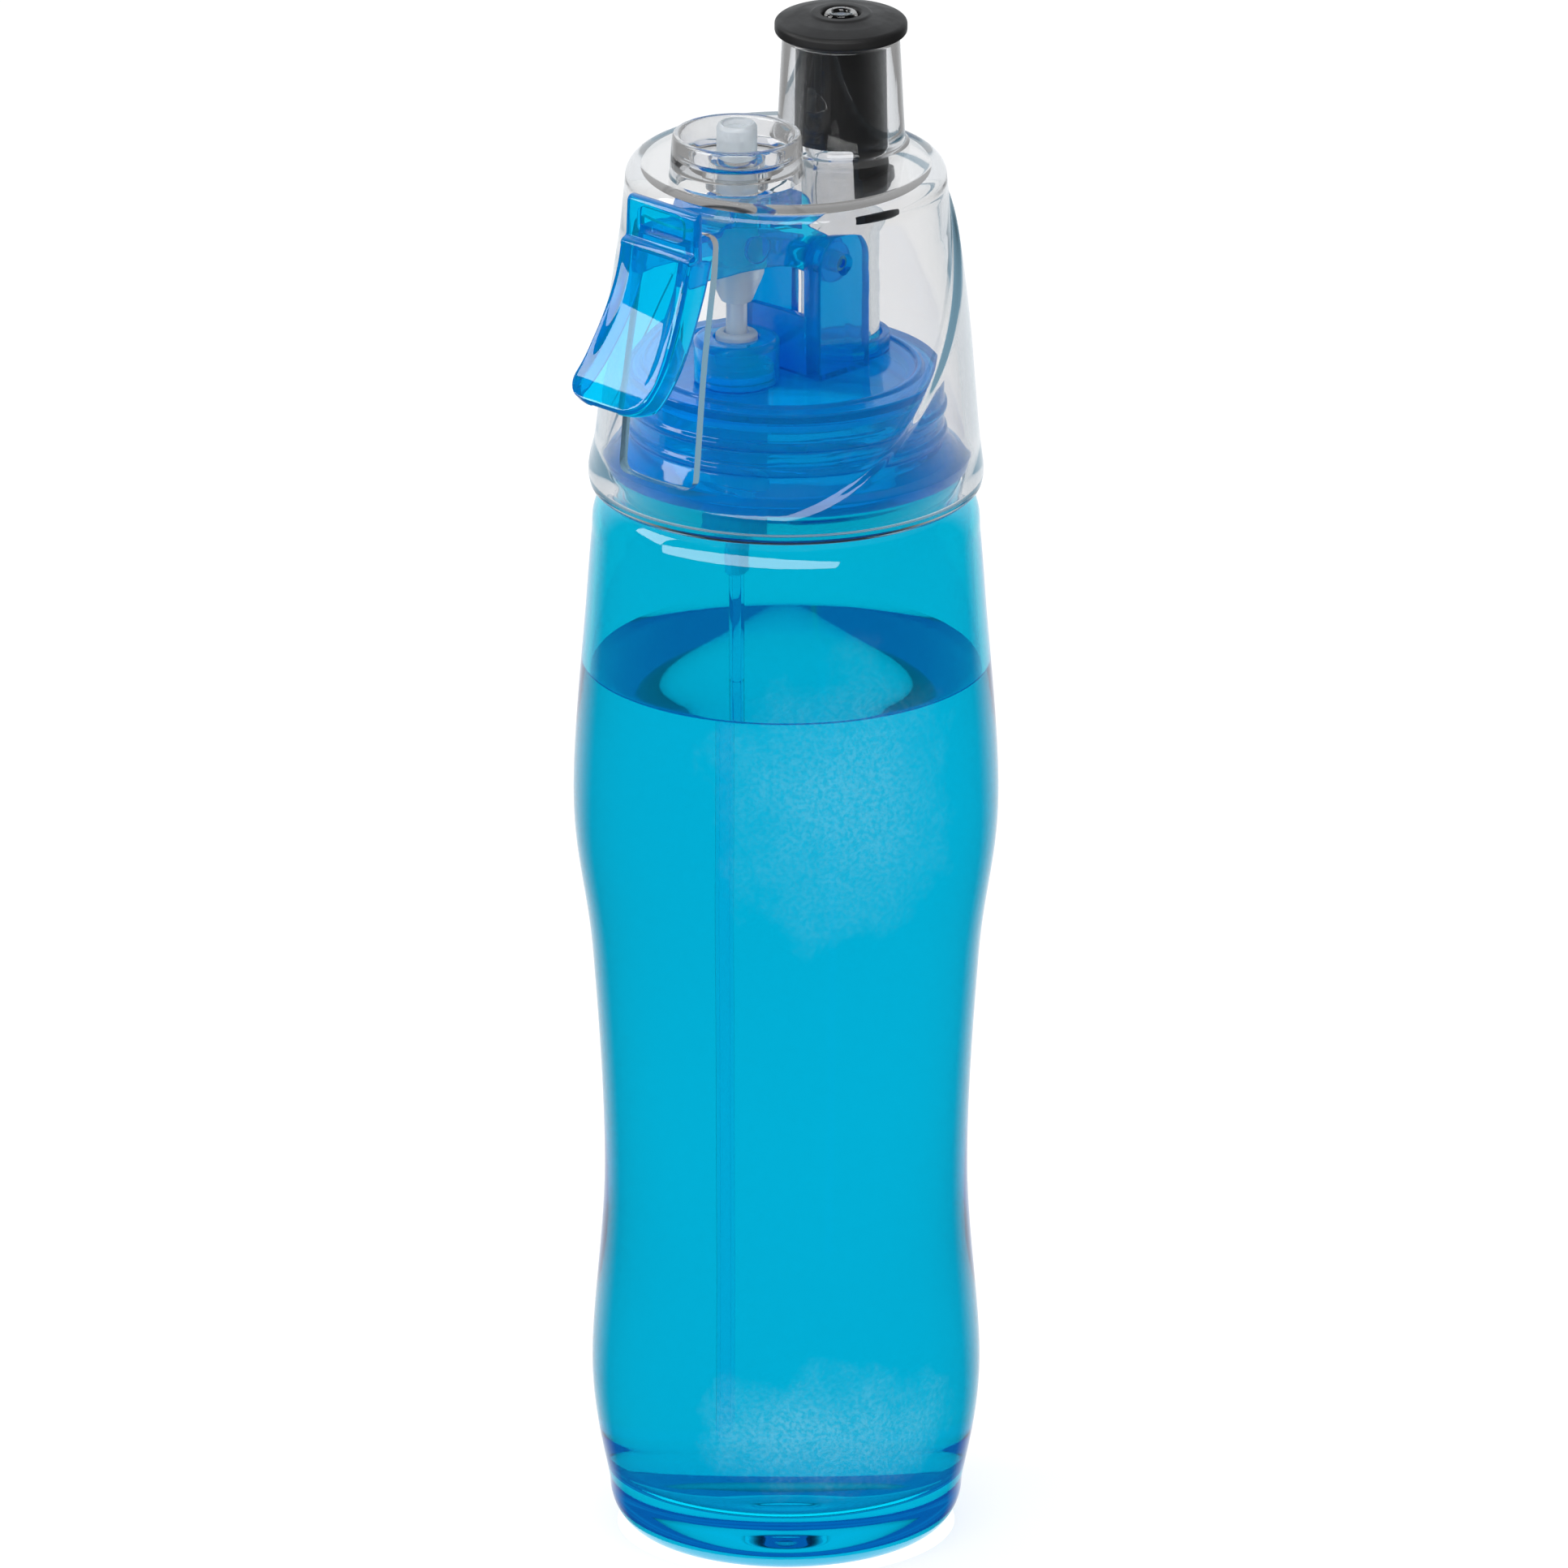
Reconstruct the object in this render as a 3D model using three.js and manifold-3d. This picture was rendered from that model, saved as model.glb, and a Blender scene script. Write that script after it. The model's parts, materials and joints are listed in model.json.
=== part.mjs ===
// Sports squeeze bottle with a hand-pumped mist nozzle and a push-pull drinking spout.
// Millimetres, +Z up. The origin is the middle of the base, where the bottle's axis meets the table.
// The trigger points to -Y. Side outlines are drawn as [forward, z], where forward is the distance
// towards the trigger, so y = -forward.
import * as THREE from 'three';
import { mergeVertices } from 'three/addons/utils/BufferGeometryUtils.js';
import Module from 'manifold-3d';

const wasm = await Module();
wasm.setup();

// ---- driving dimensions ---------------------------------------------------------------------

const ROUND = 36; // facets round a large turned part
const SMALL_ROUND = 20; // facets round a part under about 15 mm
const MEDIUM_ROUND = 28; // facets round the spout and the nozzle bowl
const TINY_ROUND = 12; // facets round a tube or bore of a few millimetres
const GAP = 0.3; // assembly clearance between separate pieces

// bottle, drawn as [radius, z] points from the foot up to the shoulder
const WALL = 1.6;
const FLOOR = 10; // the base is a thick solid disc
const FOOT_RECESS = 0.9;
const PAD_R = 3.8; // gate pad in the middle of the base
const FOOT_R = 24.3; // where the flat foot ring turns up into the corner
const HEEL_H = 8; // height of the rounded corner
const INNER_HEEL = [29.9, 14.2]; // where the inside wall meets its own rounded corner
const HIP = [33.35, 29]; // the lower bulge
const WAIST = [31.2, 65];
const RISE = [33.2, 104];
const CHEST = [36.5, 132];
const UPPER = [34.25, 168.5];
const SHOULDER_R = 33.3;
const SHOULDER_Z = 192.6; // top of the shoulder, which rises inside the shroud's lip
const SHOULDER = [
  [SHOULDER_R - 0.1, 183.5],
  [32.75, 185.4],
  [31.9, 187.2],
  [30.9, 188.5],
  [30.4, 189.6],
  [30.3, 191],
  [29.6, 192.2],
  [28.4, SHOULDER_Z],
];
const INNER_SHOULDER = [
  [31.55, 183],
  [31.2, 184.6],
  [30.4, 186.2],
  [29.4, 187.7],
  [28.8, 188.9],
  [28.7, 189.8],
  [28, 190.6],
  [26.8, SHOULDER_Z - WALL],
];
const NECK_R = 23.2;
const NECK_BORE = 21.3;
const RIM_Z = 206.3;

// screw thread between neck and screw cap
const PITCH = 4;
const THREAD_TURNS = 2;
const NECK_CREST_R = 24.8;
const CAP_CREST_R = 23.7;
const NECK_THREAD_Z = 195;
const THREAD_ROOT = 1.6; // axial width of a ridge at its root
const THREAD_CREST = 0.7;

// screw cap, the blue inner cap that carries the mechanism
const CAP_BORE = 25.3;
const CAP_R = 27;
const CAP_BOTTOM = 193.2;
const CAP_CEILING = 208.3;
const DECK_Z = 210.4; // top of the cap's disc
const FLANGE_R = 31;
const FLANGE_TOP = 195.4;

// clear shroud
const SHROUD_BOTTOM = 188.9;
const SHROUD_WALL = 1.8;
const PLATE_Z = 247.6; // top of the shroud's flat plate
const PLATE_T = 2.2;
const WINDOW_HALF = 8.9; // the trigger's window, from WINDOW_LOW up to WINDOW_HIGH
const WINDOW_LOW = 197;
const WINDOW_HIGH = 242;

// mist pump and its nozzle share one upright axis in front of the bottle's axis
const PUMP_FORWARD = 11.9;
const STROKE_HOLE_R = 3.9; // the nozzle slides in this hole in the shroud
const BARREL_R = 4.4; // bore of the pump cylinder
const STEM_R = 1.8;
const COLLAR_Z = 209; // the collar's lower end, which stops the stem at the top of its stroke
const STEM_FOOT_Z = 201.2;
const CHAMBER_Z = 187; // floor of the pump cylinder's bore
const DIP_R = 1.3;
const DIP_BOTTOM = 17.6;
const DIP_TOP = 179.9;

// drinking spout, on its own upright axis behind the bottle's axis
const SPOUT_BACK = 13.3;
const TOWER_BORE = 8.45;
const TOWER_TOP = 267;
const VALVE_R = 8.15;
const VALVE_LIFT = 3;
const DRINK_R = 6.8;
const DRINK_BORE = 5.1;

// trigger lever and its pivot
const PIVOT_FORWARD = -3.7;
const PIVOT_Z = 230;
const PIN_R = 1.6;
const HUB_R = 3.5;
const ARM_IN = 5; // the lever's arm is a channel with a side wall from ARM_IN to ARM_OUT either side
const ARM_OUT = 6.2;
const PAD_ROUND = 2.8; // radius of the round feet that press on the nozzle
const EAR_IN = 6.5;
const EAR_OUT = 10.5;
const EAR_R = 6.1;
const WEB_TOP = 221; // top of the wall that joins the two ears
const PAD_BOTTOM = 232.8; // the feet press on the nozzle's flange here

// ---- materials ------------------------------------------------------------------------------

const plastic = (color, roughness, opacity = 1) =>
  new THREE.MeshStandardMaterial({ color, roughness, metalness: 0, opacity, transparent: opacity < 1 });

const material = {
  bottleBlue: plastic(0x0fb4dc, 0.12, 0.55),
  capBlue: plastic(0x0a6fc0, 0.2, 0.8),
  triggerBlue: plastic(0x12a6e8, 0.1, 0.6),
  clear: plastic(0xf2f5f6, 0.06, 0.25),
  white: plastic(0xe9edf0, 0.4, 0.9),
  black: plastic(0x202122, 0.45),
  seal: plastic(0xd8dde0, 0.6),
  steel: new THREE.MeshStandardMaterial({ color: 0xb9bdc1, roughness: 0.25, metalness: 1 }),
};

// ---- solids ---------------------------------------------------------------------------------

// A closed three.js geometry as a manifold-3d solid with its faces pointing out.
function toSolid(geometry) {
  const bare = new THREE.BufferGeometry();
  bare.setAttribute('position', geometry.getAttribute('position'));
  if (geometry.index) bare.setIndex(geometry.index);
  const merged = mergeVertices(bare, 1e-4);
  const kept = [];
  const index = merged.index.array;
  for (let i = 0; i < index.length; i += 3) {
    const [a, b, c] = index.slice(i, i + 3);
    if (a !== b && b !== c && c !== a) kept.push(a, b, c);
  }
  const build = (triangles) =>
    new wasm.Manifold(
      new wasm.Mesh({
        numProp: 3,
        vertProperties: new Float32Array(merged.attributes.position.array),
        triVerts: new Uint32Array(triangles),
      }),
    );
  const solid = build(kept);
  if (solid.volume() > 0) return solid;
  return build(kept.map((_, i) => kept[i - (i % 3) + [0, 2, 1][i % 3]]));
}

// The named mesh of a solid.
function piece(name, solid, look) {
  const made = solid.getMesh();
  const stride = made.numProp;
  const points = new Float32Array(made.numVert * 3);
  for (let i = 0; i < made.numVert; i++) {
    points.set(made.vertProperties.subarray(i * stride, i * stride + 3), i * 3);
  }
  const geometry = new THREE.BufferGeometry();
  geometry.setAttribute('position', new THREE.BufferAttribute(points, 3));
  geometry.setIndex(new THREE.BufferAttribute(made.triVerts, 1));
  geometry.computeVertexNormals();
  const mesh = new THREE.Mesh(geometry, look);
  mesh.name = name;
  return mesh;
}

// A turned solid about the Z axis. The outline is [radius, z] points, and it closes on itself or on
// the axis.
function turned(outline, segments = ROUND) {
  const points = outline.map(([r, z]) => new THREE.Vector2(r, z));
  const closesOnAxis = outline[0][0] === 0 && outline.at(-1)[0] === 0;
  if (!closesOnAxis) points.push(points[0].clone());
  return toSolid(new THREE.LatheGeometry(points, segments).rotateX(Math.PI / 2));
}

const disc = (r, z0, z1, segments = SMALL_ROUND) =>
  turned([[0, z0], [r, z0], [r, z1], [0, z1]], segments);

const ring = (inner, outer, z0, z1, segments = SMALL_ROUND) =>
  turned([[inner, z0], [outer, z0], [outer, z1], [inner, z1]], segments);

const at = (solid, x, y, z = 0) => solid.translate([x, y, z]);

// A prism across the bottle, from x0 to x1, whose side outline is [forward, z] points. Its width at
// height z is multiplied by widen(z).
function acrossPrism(outline, x0, x1, widen = () => 1) {
  const shape = new THREE.Shape(outline.map(([forward, z]) => new THREE.Vector2(forward, z)));
  const geometry = new THREE.ExtrudeGeometry(shape, { depth: x1 - x0, bevelEnabled: false });
  const toRow = new THREE.Matrix4().set(0, 0, 1, x0, -1, 0, 0, 0, 0, 1, 0, 0, 0, 0, 0, 1);
  const position = geometry.applyMatrix4(toRow).getAttribute('position');
  for (let i = 0; i < position.count; i++) {
    position.setX(i, position.getX(i) * widen(position.getZ(i)));
  }
  return toSolid(geometry);
}

// The same prism on both sides of the middle plane.
const bothSides = (outline, x0, x1, widen) =>
  acrossPrism(outline, x0, x1, widen).add(acrossPrism(outline, -x1, -x0, widen));

const box = (x0, x1, y0, y1, z0, z1) =>
  toSolid(
    new THREE.BoxGeometry(x1 - x0, y1 - y0, z1 - z0)
      .translate((x0 + x1) / 2, (y0 + y1) / 2, (z0 + z1) / 2),
  );

// A rod along X.
const crossRod = (r, half, forward, z, segments = TINY_ROUND) =>
  toSolid(
    new THREE.CylinderGeometry(r, r, 2 * half, segments).rotateZ(Math.PI / 2).translate(0, -forward, z),
  );

// Points on an arc, angles in degrees.
function arc(cx, cy, rx, ry, from, to, steps) {
  return Array.from({ length: steps + 1 }, (_, i) => {
    const angle = THREE.MathUtils.degToRad(from + ((to - from) * i) / steps);
    return [cx + rx * Math.cos(angle), cy + ry * Math.sin(angle)];
  });
}

// Points on a smooth curve through the given ones.
const smooth = (through, steps) =>
  new THREE.SplineCurve(through.map(([a, b]) => new THREE.Vector2(a, b)))
    .getPoints(steps)
    .map((p) => [p.x, p.y]);

// A helical ridge of trapezoid section. Its root sinks into the wall so that it joins, and its height
// fades in and out over the first and last steps.
function threadRidge(rootR, crestR, zStart) {
  const stepsPerTurn = 20;
  const steps = THREAD_TURNS * stepsPerTurn;
  const sunk = rootR + Math.sign(rootR - crestR) * GAP;
  const points = [];
  const faces = [];
  for (let i = 0; i <= steps; i++) {
    const angle = (i / stepsPerTurn) * 2 * Math.PI;
    const fade = Math.min(1, i / 2, (steps - i) / 2) * 0.98 + 0.02;
    const tip = rootR + (crestR - rootR) * fade;
    const middle = zStart + (i / stepsPerTurn) * PITCH;
    const section = [
      [sunk, -THREAD_ROOT / 2],
      [tip, -THREAD_CREST / 2],
      [tip, THREAD_CREST / 2],
      [sunk, THREAD_ROOT / 2],
    ];
    section.forEach(([r, dz]) => points.push(r * Math.cos(angle), r * Math.sin(angle), middle + dz));
  }
  for (let i = 0; i < steps; i++) {
    for (let k = 0; k < 4; k++) {
      const a = 4 * i + k;
      const b = 4 * i + ((k + 1) % 4);
      faces.push(a, b, b + 4, a, b + 4, a + 4);
    }
  }
  const last = 4 * steps;
  faces.push(0, 2, 1, 0, 3, 2, last, last + 1, last + 2, last, last + 2, last + 3);
  const geometry = new THREE.BufferGeometry();
  geometry.setAttribute('position', new THREE.Float32BufferAttribute(points, 3));
  geometry.setIndex(faces);
  return toSolid(geometry);
}

// ---- bottle ---------------------------------------------------------------------------------

function bottleBody() {
  const side = [[FOOT_R + 6, HEEL_H], HIP, WAIST, RISE, CHEST, UPPER, [SHOULDER_R, 181]];
  const inside = [INNER_HEEL, ...side.slice(1).map(([r, z]) => [r - WALL, z])];
  const [innerR, innerZ] = INNER_HEEL;
  const floorR = FOOT_R - 0.6;
  const outer = [
    [0, 0],
    [PAD_R, 0],
    [PAD_R + 0.9, FOOT_RECESS],
    [FOOT_R - 3.8, FOOT_RECESS],
    [FOOT_R - 2.9, 0],
    ...arc(FOOT_R, HEEL_H, 6, HEEL_H, -90, 0, 4).slice(0, -1),
    ...smooth(side, 15),
    ...SHOULDER,
    [NECK_R + 0.5, SHOULDER_Z + 0.6],
    [NECK_R, SHOULDER_Z + 1.2],
    [NECK_R, RIM_Z - 0.5],
    [NECK_R - 0.4, RIM_Z],
  ];
  const inner = [
    [NECK_BORE, RIM_Z],
    [NECK_BORE, SHOULDER_Z - 0.6],
    ...[...INNER_SHOULDER].reverse(),
    ...smooth(inside, 9).reverse(),
    ...arc(floorR, innerZ, innerR - floorR, innerZ - FLOOR, 0, -90, 4).slice(1),
    [0, FLOOR],
  ];
  return turned([...outer, ...inner]).add(threadRidge(NECK_R, NECK_CREST_R, NECK_THREAD_Z));
}

const neckGasket = () => ring(NECK_BORE, CAP_CREST_R + 0.8, RIM_Z + GAP, CAP_CEILING - GAP, ROUND);

// ---- screw cap ------------------------------------------------------------------------------

function screwCap() {
  const shell = turned([
    [0, CAP_CEILING],
    [CAP_BORE, CAP_CEILING],
    [CAP_BORE, CAP_BOTTOM],
    [FLANGE_R, CAP_BOTTOM],
    [FLANGE_R, FLANGE_TOP],
    [29.4, 196.2],
    [28.1, 197.6],
    [CAP_R + 0.5, 199.4],
    [CAP_R + 0.5, 200.6],
    [CAP_R, 201.2],
    [CAP_R, 203.4],
    [CAP_R + 0.5, 203.9],
    [CAP_R + 0.5, 205.1],
    [CAP_R, 205.6],
    [CAP_R, DECK_Z - 0.8],
    [CAP_R - 0.8, DECK_Z],
    [23.6, DECK_Z],
    [23.3, DECK_Z + 0.5],
    [22.5, DECK_Z + 0.5],
    [22.2, DECK_Z],
    [0, DECK_Z],
  ]);
  const earOutline = [
    [PIVOT_FORWARD + EAR_R, DECK_Z - 1],
    ...arc(PIVOT_FORWARD, PIVOT_Z, EAR_R, EAR_R, 0, 180, 12),
    [PIVOT_FORWARD - EAR_R, DECK_Z - 1],
  ];
  const webFront = -(PIVOT_FORWARD + EAR_R);
  const web = box(-EAR_IN - 0.5, EAR_IN + 0.5, webFront, webFront + 1.6, DECK_Z - 1, WEB_TOP);
  const boss = at(ring(DRINK_R + 0.4, DRINK_R + 1.8, DECK_Z - 1, DECK_Z + 3), 0, SPOUT_BACK);
  return shell
    .add(threadRidge(CAP_BORE, CAP_CREST_R, NECK_THREAD_Z + PITCH / 2))
    .add(bothSides(earOutline, EAR_IN, EAR_OUT))
    .add(web)
    .subtract(at(disc(DRINK_R + 0.4, DECK_Z + 0.01, DECK_Z + 12), 0, SPOUT_BACK))
    .add(boss)
    .subtract(crossRod(PIN_R + GAP, EAR_OUT + 1, PIVOT_FORWARD, PIVOT_Z))
    .subtract(at(disc(DRINK_BORE, CAP_CEILING - 1, DECK_Z + 1), 0, SPOUT_BACK))
    .subtract(at(disc(5.7, CAP_CEILING - 1, DECK_Z + 1), 0, -PUMP_FORWARD));
}

const hingePin = () => crossRod(PIN_R, EAR_OUT - 0.9, 0, 0);

// ---- clear shroud ---------------------------------------------------------------------------

// The height of the step that sweeps round the shroud, low under the trigger and high at the back.
function stepHeight(forward) {
  const u = 1 - forward / 31;
  return 190 + 9 * u + 10 * u * u;
}

function shroud() {
  const upperInside = PLATE_Z - PLATE_T;
  const lip = [[33, SHROUD_BOTTOM], [33.6, 189.6], [33.9, 191], [33.9, 192.2]];
  const skirt = [...lip, [33.1, 199], [31.7, 217], [30.35, 229], [29.4, 235.5]];
  const recess = [...lip, [33.0, 196.5], [32.5, 201], [31.0, 217.6], [29.35, 229.4], [28.55, 234.8]];
  const rim = arc(24.4, 244.4, 3.2, 3.2, 10, 90, 4);
  const wall = (level) => level.slice(4).map(([r, z]) => [r - SHROUD_WALL, z]);
  const inside = [
    [24.6, upperInside],
    [25.9, 243.6],
    ...wall(recess).reverse(),
    [31.5, 193.6],
    [31.5, 190.6],
    [30.9, 190.2],
    [30.9, 189.6],
    [31.6, SHROUD_BOTTOM],
  ];
  const full = turned([...skirt, [28.4, 240.6], ...rim, [0, PLATE_Z], [0, upperInside], ...inside]);
  const proud = turned([...recess, ...rim.slice(0, 1), [31.5, 243], [36, 236], [36, 192.3]]);
  const steps = 14;
  const sweep = Array.from({ length: steps + 1 }, (_, i) => {
    const forward = 37 - (69 * i) / steps;
    return [forward, stepHeight(forward)];
  });
  const above = acrossPrism([...sweep, [-32, 262], [37, 262]], -38, 38);
  const window = box(-WINDOW_HALF, WINDOW_HALF, -40, -20, WINDOW_LOW, WINDOW_HIGH);
  const nozzleBowl = turned(
    [
      [STROKE_HOLE_R, upperInside],
      [5.3, upperInside],
      [5.3, 248.8],
      [10.1, 249.2],
      [10.3, upperInside],
      [11.9, upperInside],
      [11.7, PLATE_Z],
      [11.1, 254.6],
      [10.8, 255],
      [10.1, 255],
      [9.8, 254.6],
      [9.4, 251.2],
      [8.4, 250.4],
      [STROKE_HOLE_R, 250.2],
    ],
    MEDIUM_ROUND,
  );
  const tower = turned(
    [
      [TOWER_BORE, upperInside],
      [11.1, upperInside],
      [11.1, PLATE_Z + 1],
      [10.1, TOWER_TOP - 0.4],
      [9.7, TOWER_TOP],
      [TOWER_BORE, TOWER_TOP],
    ],
    MEDIUM_ROUND,
  );
  return full
    .subtract(proud.intersect(above))
    .subtract(window)
    .subtract(at(disc(11, upperInside - 1, PLATE_Z + 1, MEDIUM_ROUND), 0, -PUMP_FORWARD))
    .add(at(nozzleBowl, 0, -PUMP_FORWARD))
    .subtract(at(disc(TOWER_BORE, upperInside - 1, PLATE_Z + 1, MEDIUM_ROUND), 0, SPOUT_BACK))
    .add(at(tower, 0, SPOUT_BACK));
}

// ---- mist pump, about its own axis ----------------------------------------------------------

const pumpCap = () =>
  turned(
    [
      [6.6, DECK_Z + GAP],
      [7.4, DECK_Z + GAP],
      [7.4, 217.9],
      [6.8, 218.5],
      [STROKE_HOLE_R, 218.5],
      [STROKE_HOLE_R, 217],
      [6.6, 217],
    ],
    SMALL_ROUND,
  );

const pumpGasket = () => ring(5.75, 6.4, DECK_Z + GAP, DECK_Z + 1);

const pumpCylinder = () =>
  turned(
    [
      [1.6, 176],
      [2.1, 176],
      [2.1, 182.3],
      [5.4, 184.8],
      [5.4, 211.7],
      [6.3, 211.7],
      [6.3, 212.7],
      [BARREL_R, 212.7],
      [BARREL_R, CHAMBER_Z],
      [2.2, CHAMBER_Z],
      [2.2, CHAMBER_Z - 3.5],
      [1, CHAMBER_Z - 5.3],
      [1, DIP_TOP + GAP],
      [1.6, DIP_TOP + GAP],
    ],
    SMALL_ROUND,
  );

const pumpCollar = () =>
  turned(
    [
      [2.15, COLLAR_Z],
      [4.1, COLLAR_Z],
      [4.1, 213],
      [6.2, 213],
      [6.2, 214.2],
      [3.6, 214.2],
      [3.6, 219],
      [3.2, 219.4],
      [2.15, 219.4],
    ],
    SMALL_ROUND,
  );

// The piston snaps between the stem's foot and the stop ring above it. At rest the stop ring is up
// against the collar.
const pumpStem = () =>
  turned(
    [
      [0.8, STEM_FOOT_Z],
      [3.5, STEM_FOOT_Z],
      [3.5, STEM_FOOT_Z + 1.2],
      [STEM_R, STEM_FOOT_Z + 1.2],
      [STEM_R, STEM_FOOT_Z + 6.5],
      [2.6, STEM_FOOT_Z + 6.5],
      [2.6, COLLAR_Z - GAP],
      [STEM_R, COLLAR_Z - GAP],
      [STEM_R, 235.6],
      [0.8, 235.6],
    ],
    SMALL_ROUND,
  );

const pumpPiston = () =>
  at(
    turned(
      [
        [2.1, 0],
        [3.7, 0],
        [4.2, 0.6],
        [3.6, 2.3],
        [4.2, 4.7],
        [3.8, 4.7],
        [3.2, 3.3],
        [2.1, 3.3],
      ],
      SMALL_ROUND,
    ),
    0,
    0,
    STEM_FOOT_Z + 1.2 + GAP,
  );

const checkBall = () => toSolid(new THREE.SphereGeometry(1.7, TINY_ROUND, 10));

const dipTube = () => ring(0.7, DIP_R, DIP_BOTTOM, DIP_TOP, TINY_ROUND);

// A coil with its wire's middle from z0 to z1.
function pumpSpring(z0 = CHAMBER_Z + 0.45, z1 = STEM_FOOT_Z - 0.65, turns = 5, coilR = 3, wireR = 0.35) {
  class Helix extends THREE.Curve {
    getPoint(t, target = new THREE.Vector3()) {
      const angle = 2 * Math.PI * turns * t;
      return target.set(coilR * Math.cos(angle), coilR * Math.sin(angle), z0 + (z1 - z0) * t);
    }
  }
  const wire = new THREE.Shape(arc(0, 0, wireR, wireR, 0, 288, 4).map(([x, y]) => new THREE.Vector2(x, y)));
  return toSolid(
    new THREE.ExtrudeGeometry(wire, { extrudePath: new Helix(), steps: turns * 11, bevelEnabled: false }),
  );
}

const mistHead = () =>
  turned(
    [
      [2, 225],
      [2.6, 225],
      [4.7, 229.6],
      [4.7, 232.5],
      [3.5, 232.5],
      [3.5, 256.5],
      [3.1, 257],
      [2.6, 257],
      [2.5, 254],
      [0.8, 254],
      [0.8, 236],
      [2, 236],
    ],
    SMALL_ROUND,
  );

const nozzleInsert = () =>
  turned(
    [
      [0.35, 254.5],
      [0.8, 254.2],
      [2.2, 254.2],
      [2.2, 256],
      [1, 256],
      [0.35, 255.2],
    ],
    TINY_ROUND,
  );

// ---- trigger lever, about its pivot ---------------------------------------------------------

// The outer line of the finger blade, from its top to its tip, as [forward, z] from the pivot, and how
// the blade widens towards its tip.
const BLADE_HALF = 8.2;
const bladeWiden = (z) => 1 + 0.1 * THREE.MathUtils.clamp((8.6 - z) / 24.4, 0, 1);
const bladeLine = smooth([[35.6, 8.6], [37.2, 2.6], [40.2, -4.6], [44, -11], [48.8, -15.8]], 10);

function triggerLever() {
  const inward = (depth) =>
    bladeLine.map(([f, z], i) => {
      const share = i / (bladeLine.length - 1);
      return [f - depth(share), z - 0.35 * share * depth(share)];
    });
  const plate = [...bladeLine, ...inward(() => 2).reverse()];
  const cheek = [...bladeLine, ...inward((share) => 6.4 - 2.4 * share * share).reverse()];
  const topBar = [[32.1, 7.6], [35, 7.6], [35, 8.2], [34, 9], [34, 15.8], [33.3, 16.5], [32.1, 16.5]];
  const side = [
    [-2.6, 2.4],
    [1.2, 8.2],
    [4.4, 11.8],
    [9, 13.4],
    [24, 13.4],
    [25.2, 11.4],
    [35, 11.2],
    [36, 2.6],
    [29.2, 2.9],
    [19.4, 2.3],
    [11.5, 1.4],
    [7.5, 0.2],
    [4.5, -1.6],
    [1.6, -3.2],
  ];
  const pad = PUMP_FORWARD - PIVOT_FORWARD;
  const foot = arc(pad, PAD_BOTTOM - PIVOT_Z + PAD_ROUND, PAD_ROUND, PAD_ROUND, 0, 345, 15);
  const roof = [
    [20.2, 11.8],
    [23.6, 11.8],
    [24.6, 9.8],
    [35, 9.8],
    [35, 11.2],
    [25.2, 11.4],
    [24, 13.4],
    [20.2, 13.4],
  ];
  const backRoof = [[5.6, 10.4], [9, 11.8], [9, 13.4], [5.6, 12.2]];
  const hub = arc(0, 0, HUB_R, HUB_R, 0, 345, 15);
  return acrossPrism(plate, -BLADE_HALF, BLADE_HALF, bladeWiden)
    .add(bothSides(cheek, BLADE_HALF - 1.6, BLADE_HALF, bladeWiden))
    .add(acrossPrism(topBar, -BLADE_HALF - 0.1, BLADE_HALF + 0.1))
    .add(bothSides(side, ARM_IN, ARM_OUT))
    .add(bothSides(foot, ARM_IN - 1.1, ARM_OUT))
    .add(acrossPrism(roof, -ARM_OUT, ARM_OUT))
    .add(acrossPrism(backRoof, -ARM_OUT, ARM_OUT))
    .add(bothSides(hub, ARM_IN, ARM_OUT))
    .subtract(crossRod(PIN_R + GAP, EAR_OUT, 0, 0));
}

// ---- drinking spout, about its own axis -----------------------------------------------------

function drinkTube() {
  const tube = turned(
    [
      [DRINK_BORE, DECK_Z + 1.2],
      [DRINK_R, DECK_Z + 1.2],
      [DRINK_R, 242.6],
      [6.3, 243.2],
      [6.3, 254.2],
      [5.75, 254.2],
      [5.75, 256.2],
      [6.3, 256.2],
      [6.3, 262],
      [DRINK_BORE, 262],
    ],
    SMALL_ROUND,
  );
  const post = turned(
    [
      [0, 256.5],
      [1.6, 256.5],
      [1.6, 266],
      [2.9, 267.4],
      [2.9, 270.6],
      [2.4, 271],
      [0, 271],
    ],
    TINY_ROUND,
  );
  const spoke = box(-DRINK_BORE - 0.3, DRINK_BORE + 0.3, -0.7, 0.7, 257, 259);
  return tube.add(post).add(spoke).add(spoke.rotate([0, 0, 90]));
}

const drinkTubeSeal = () => ring(DRINK_BORE + 0.1, DRINK_R, DECK_Z + GAP, DECK_Z + 0.9);

const spoutORing = () => turned(arc(6.25, 255.2, 0.4, 0.4, 0, 315, 7), SMALL_ROUND);

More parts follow.
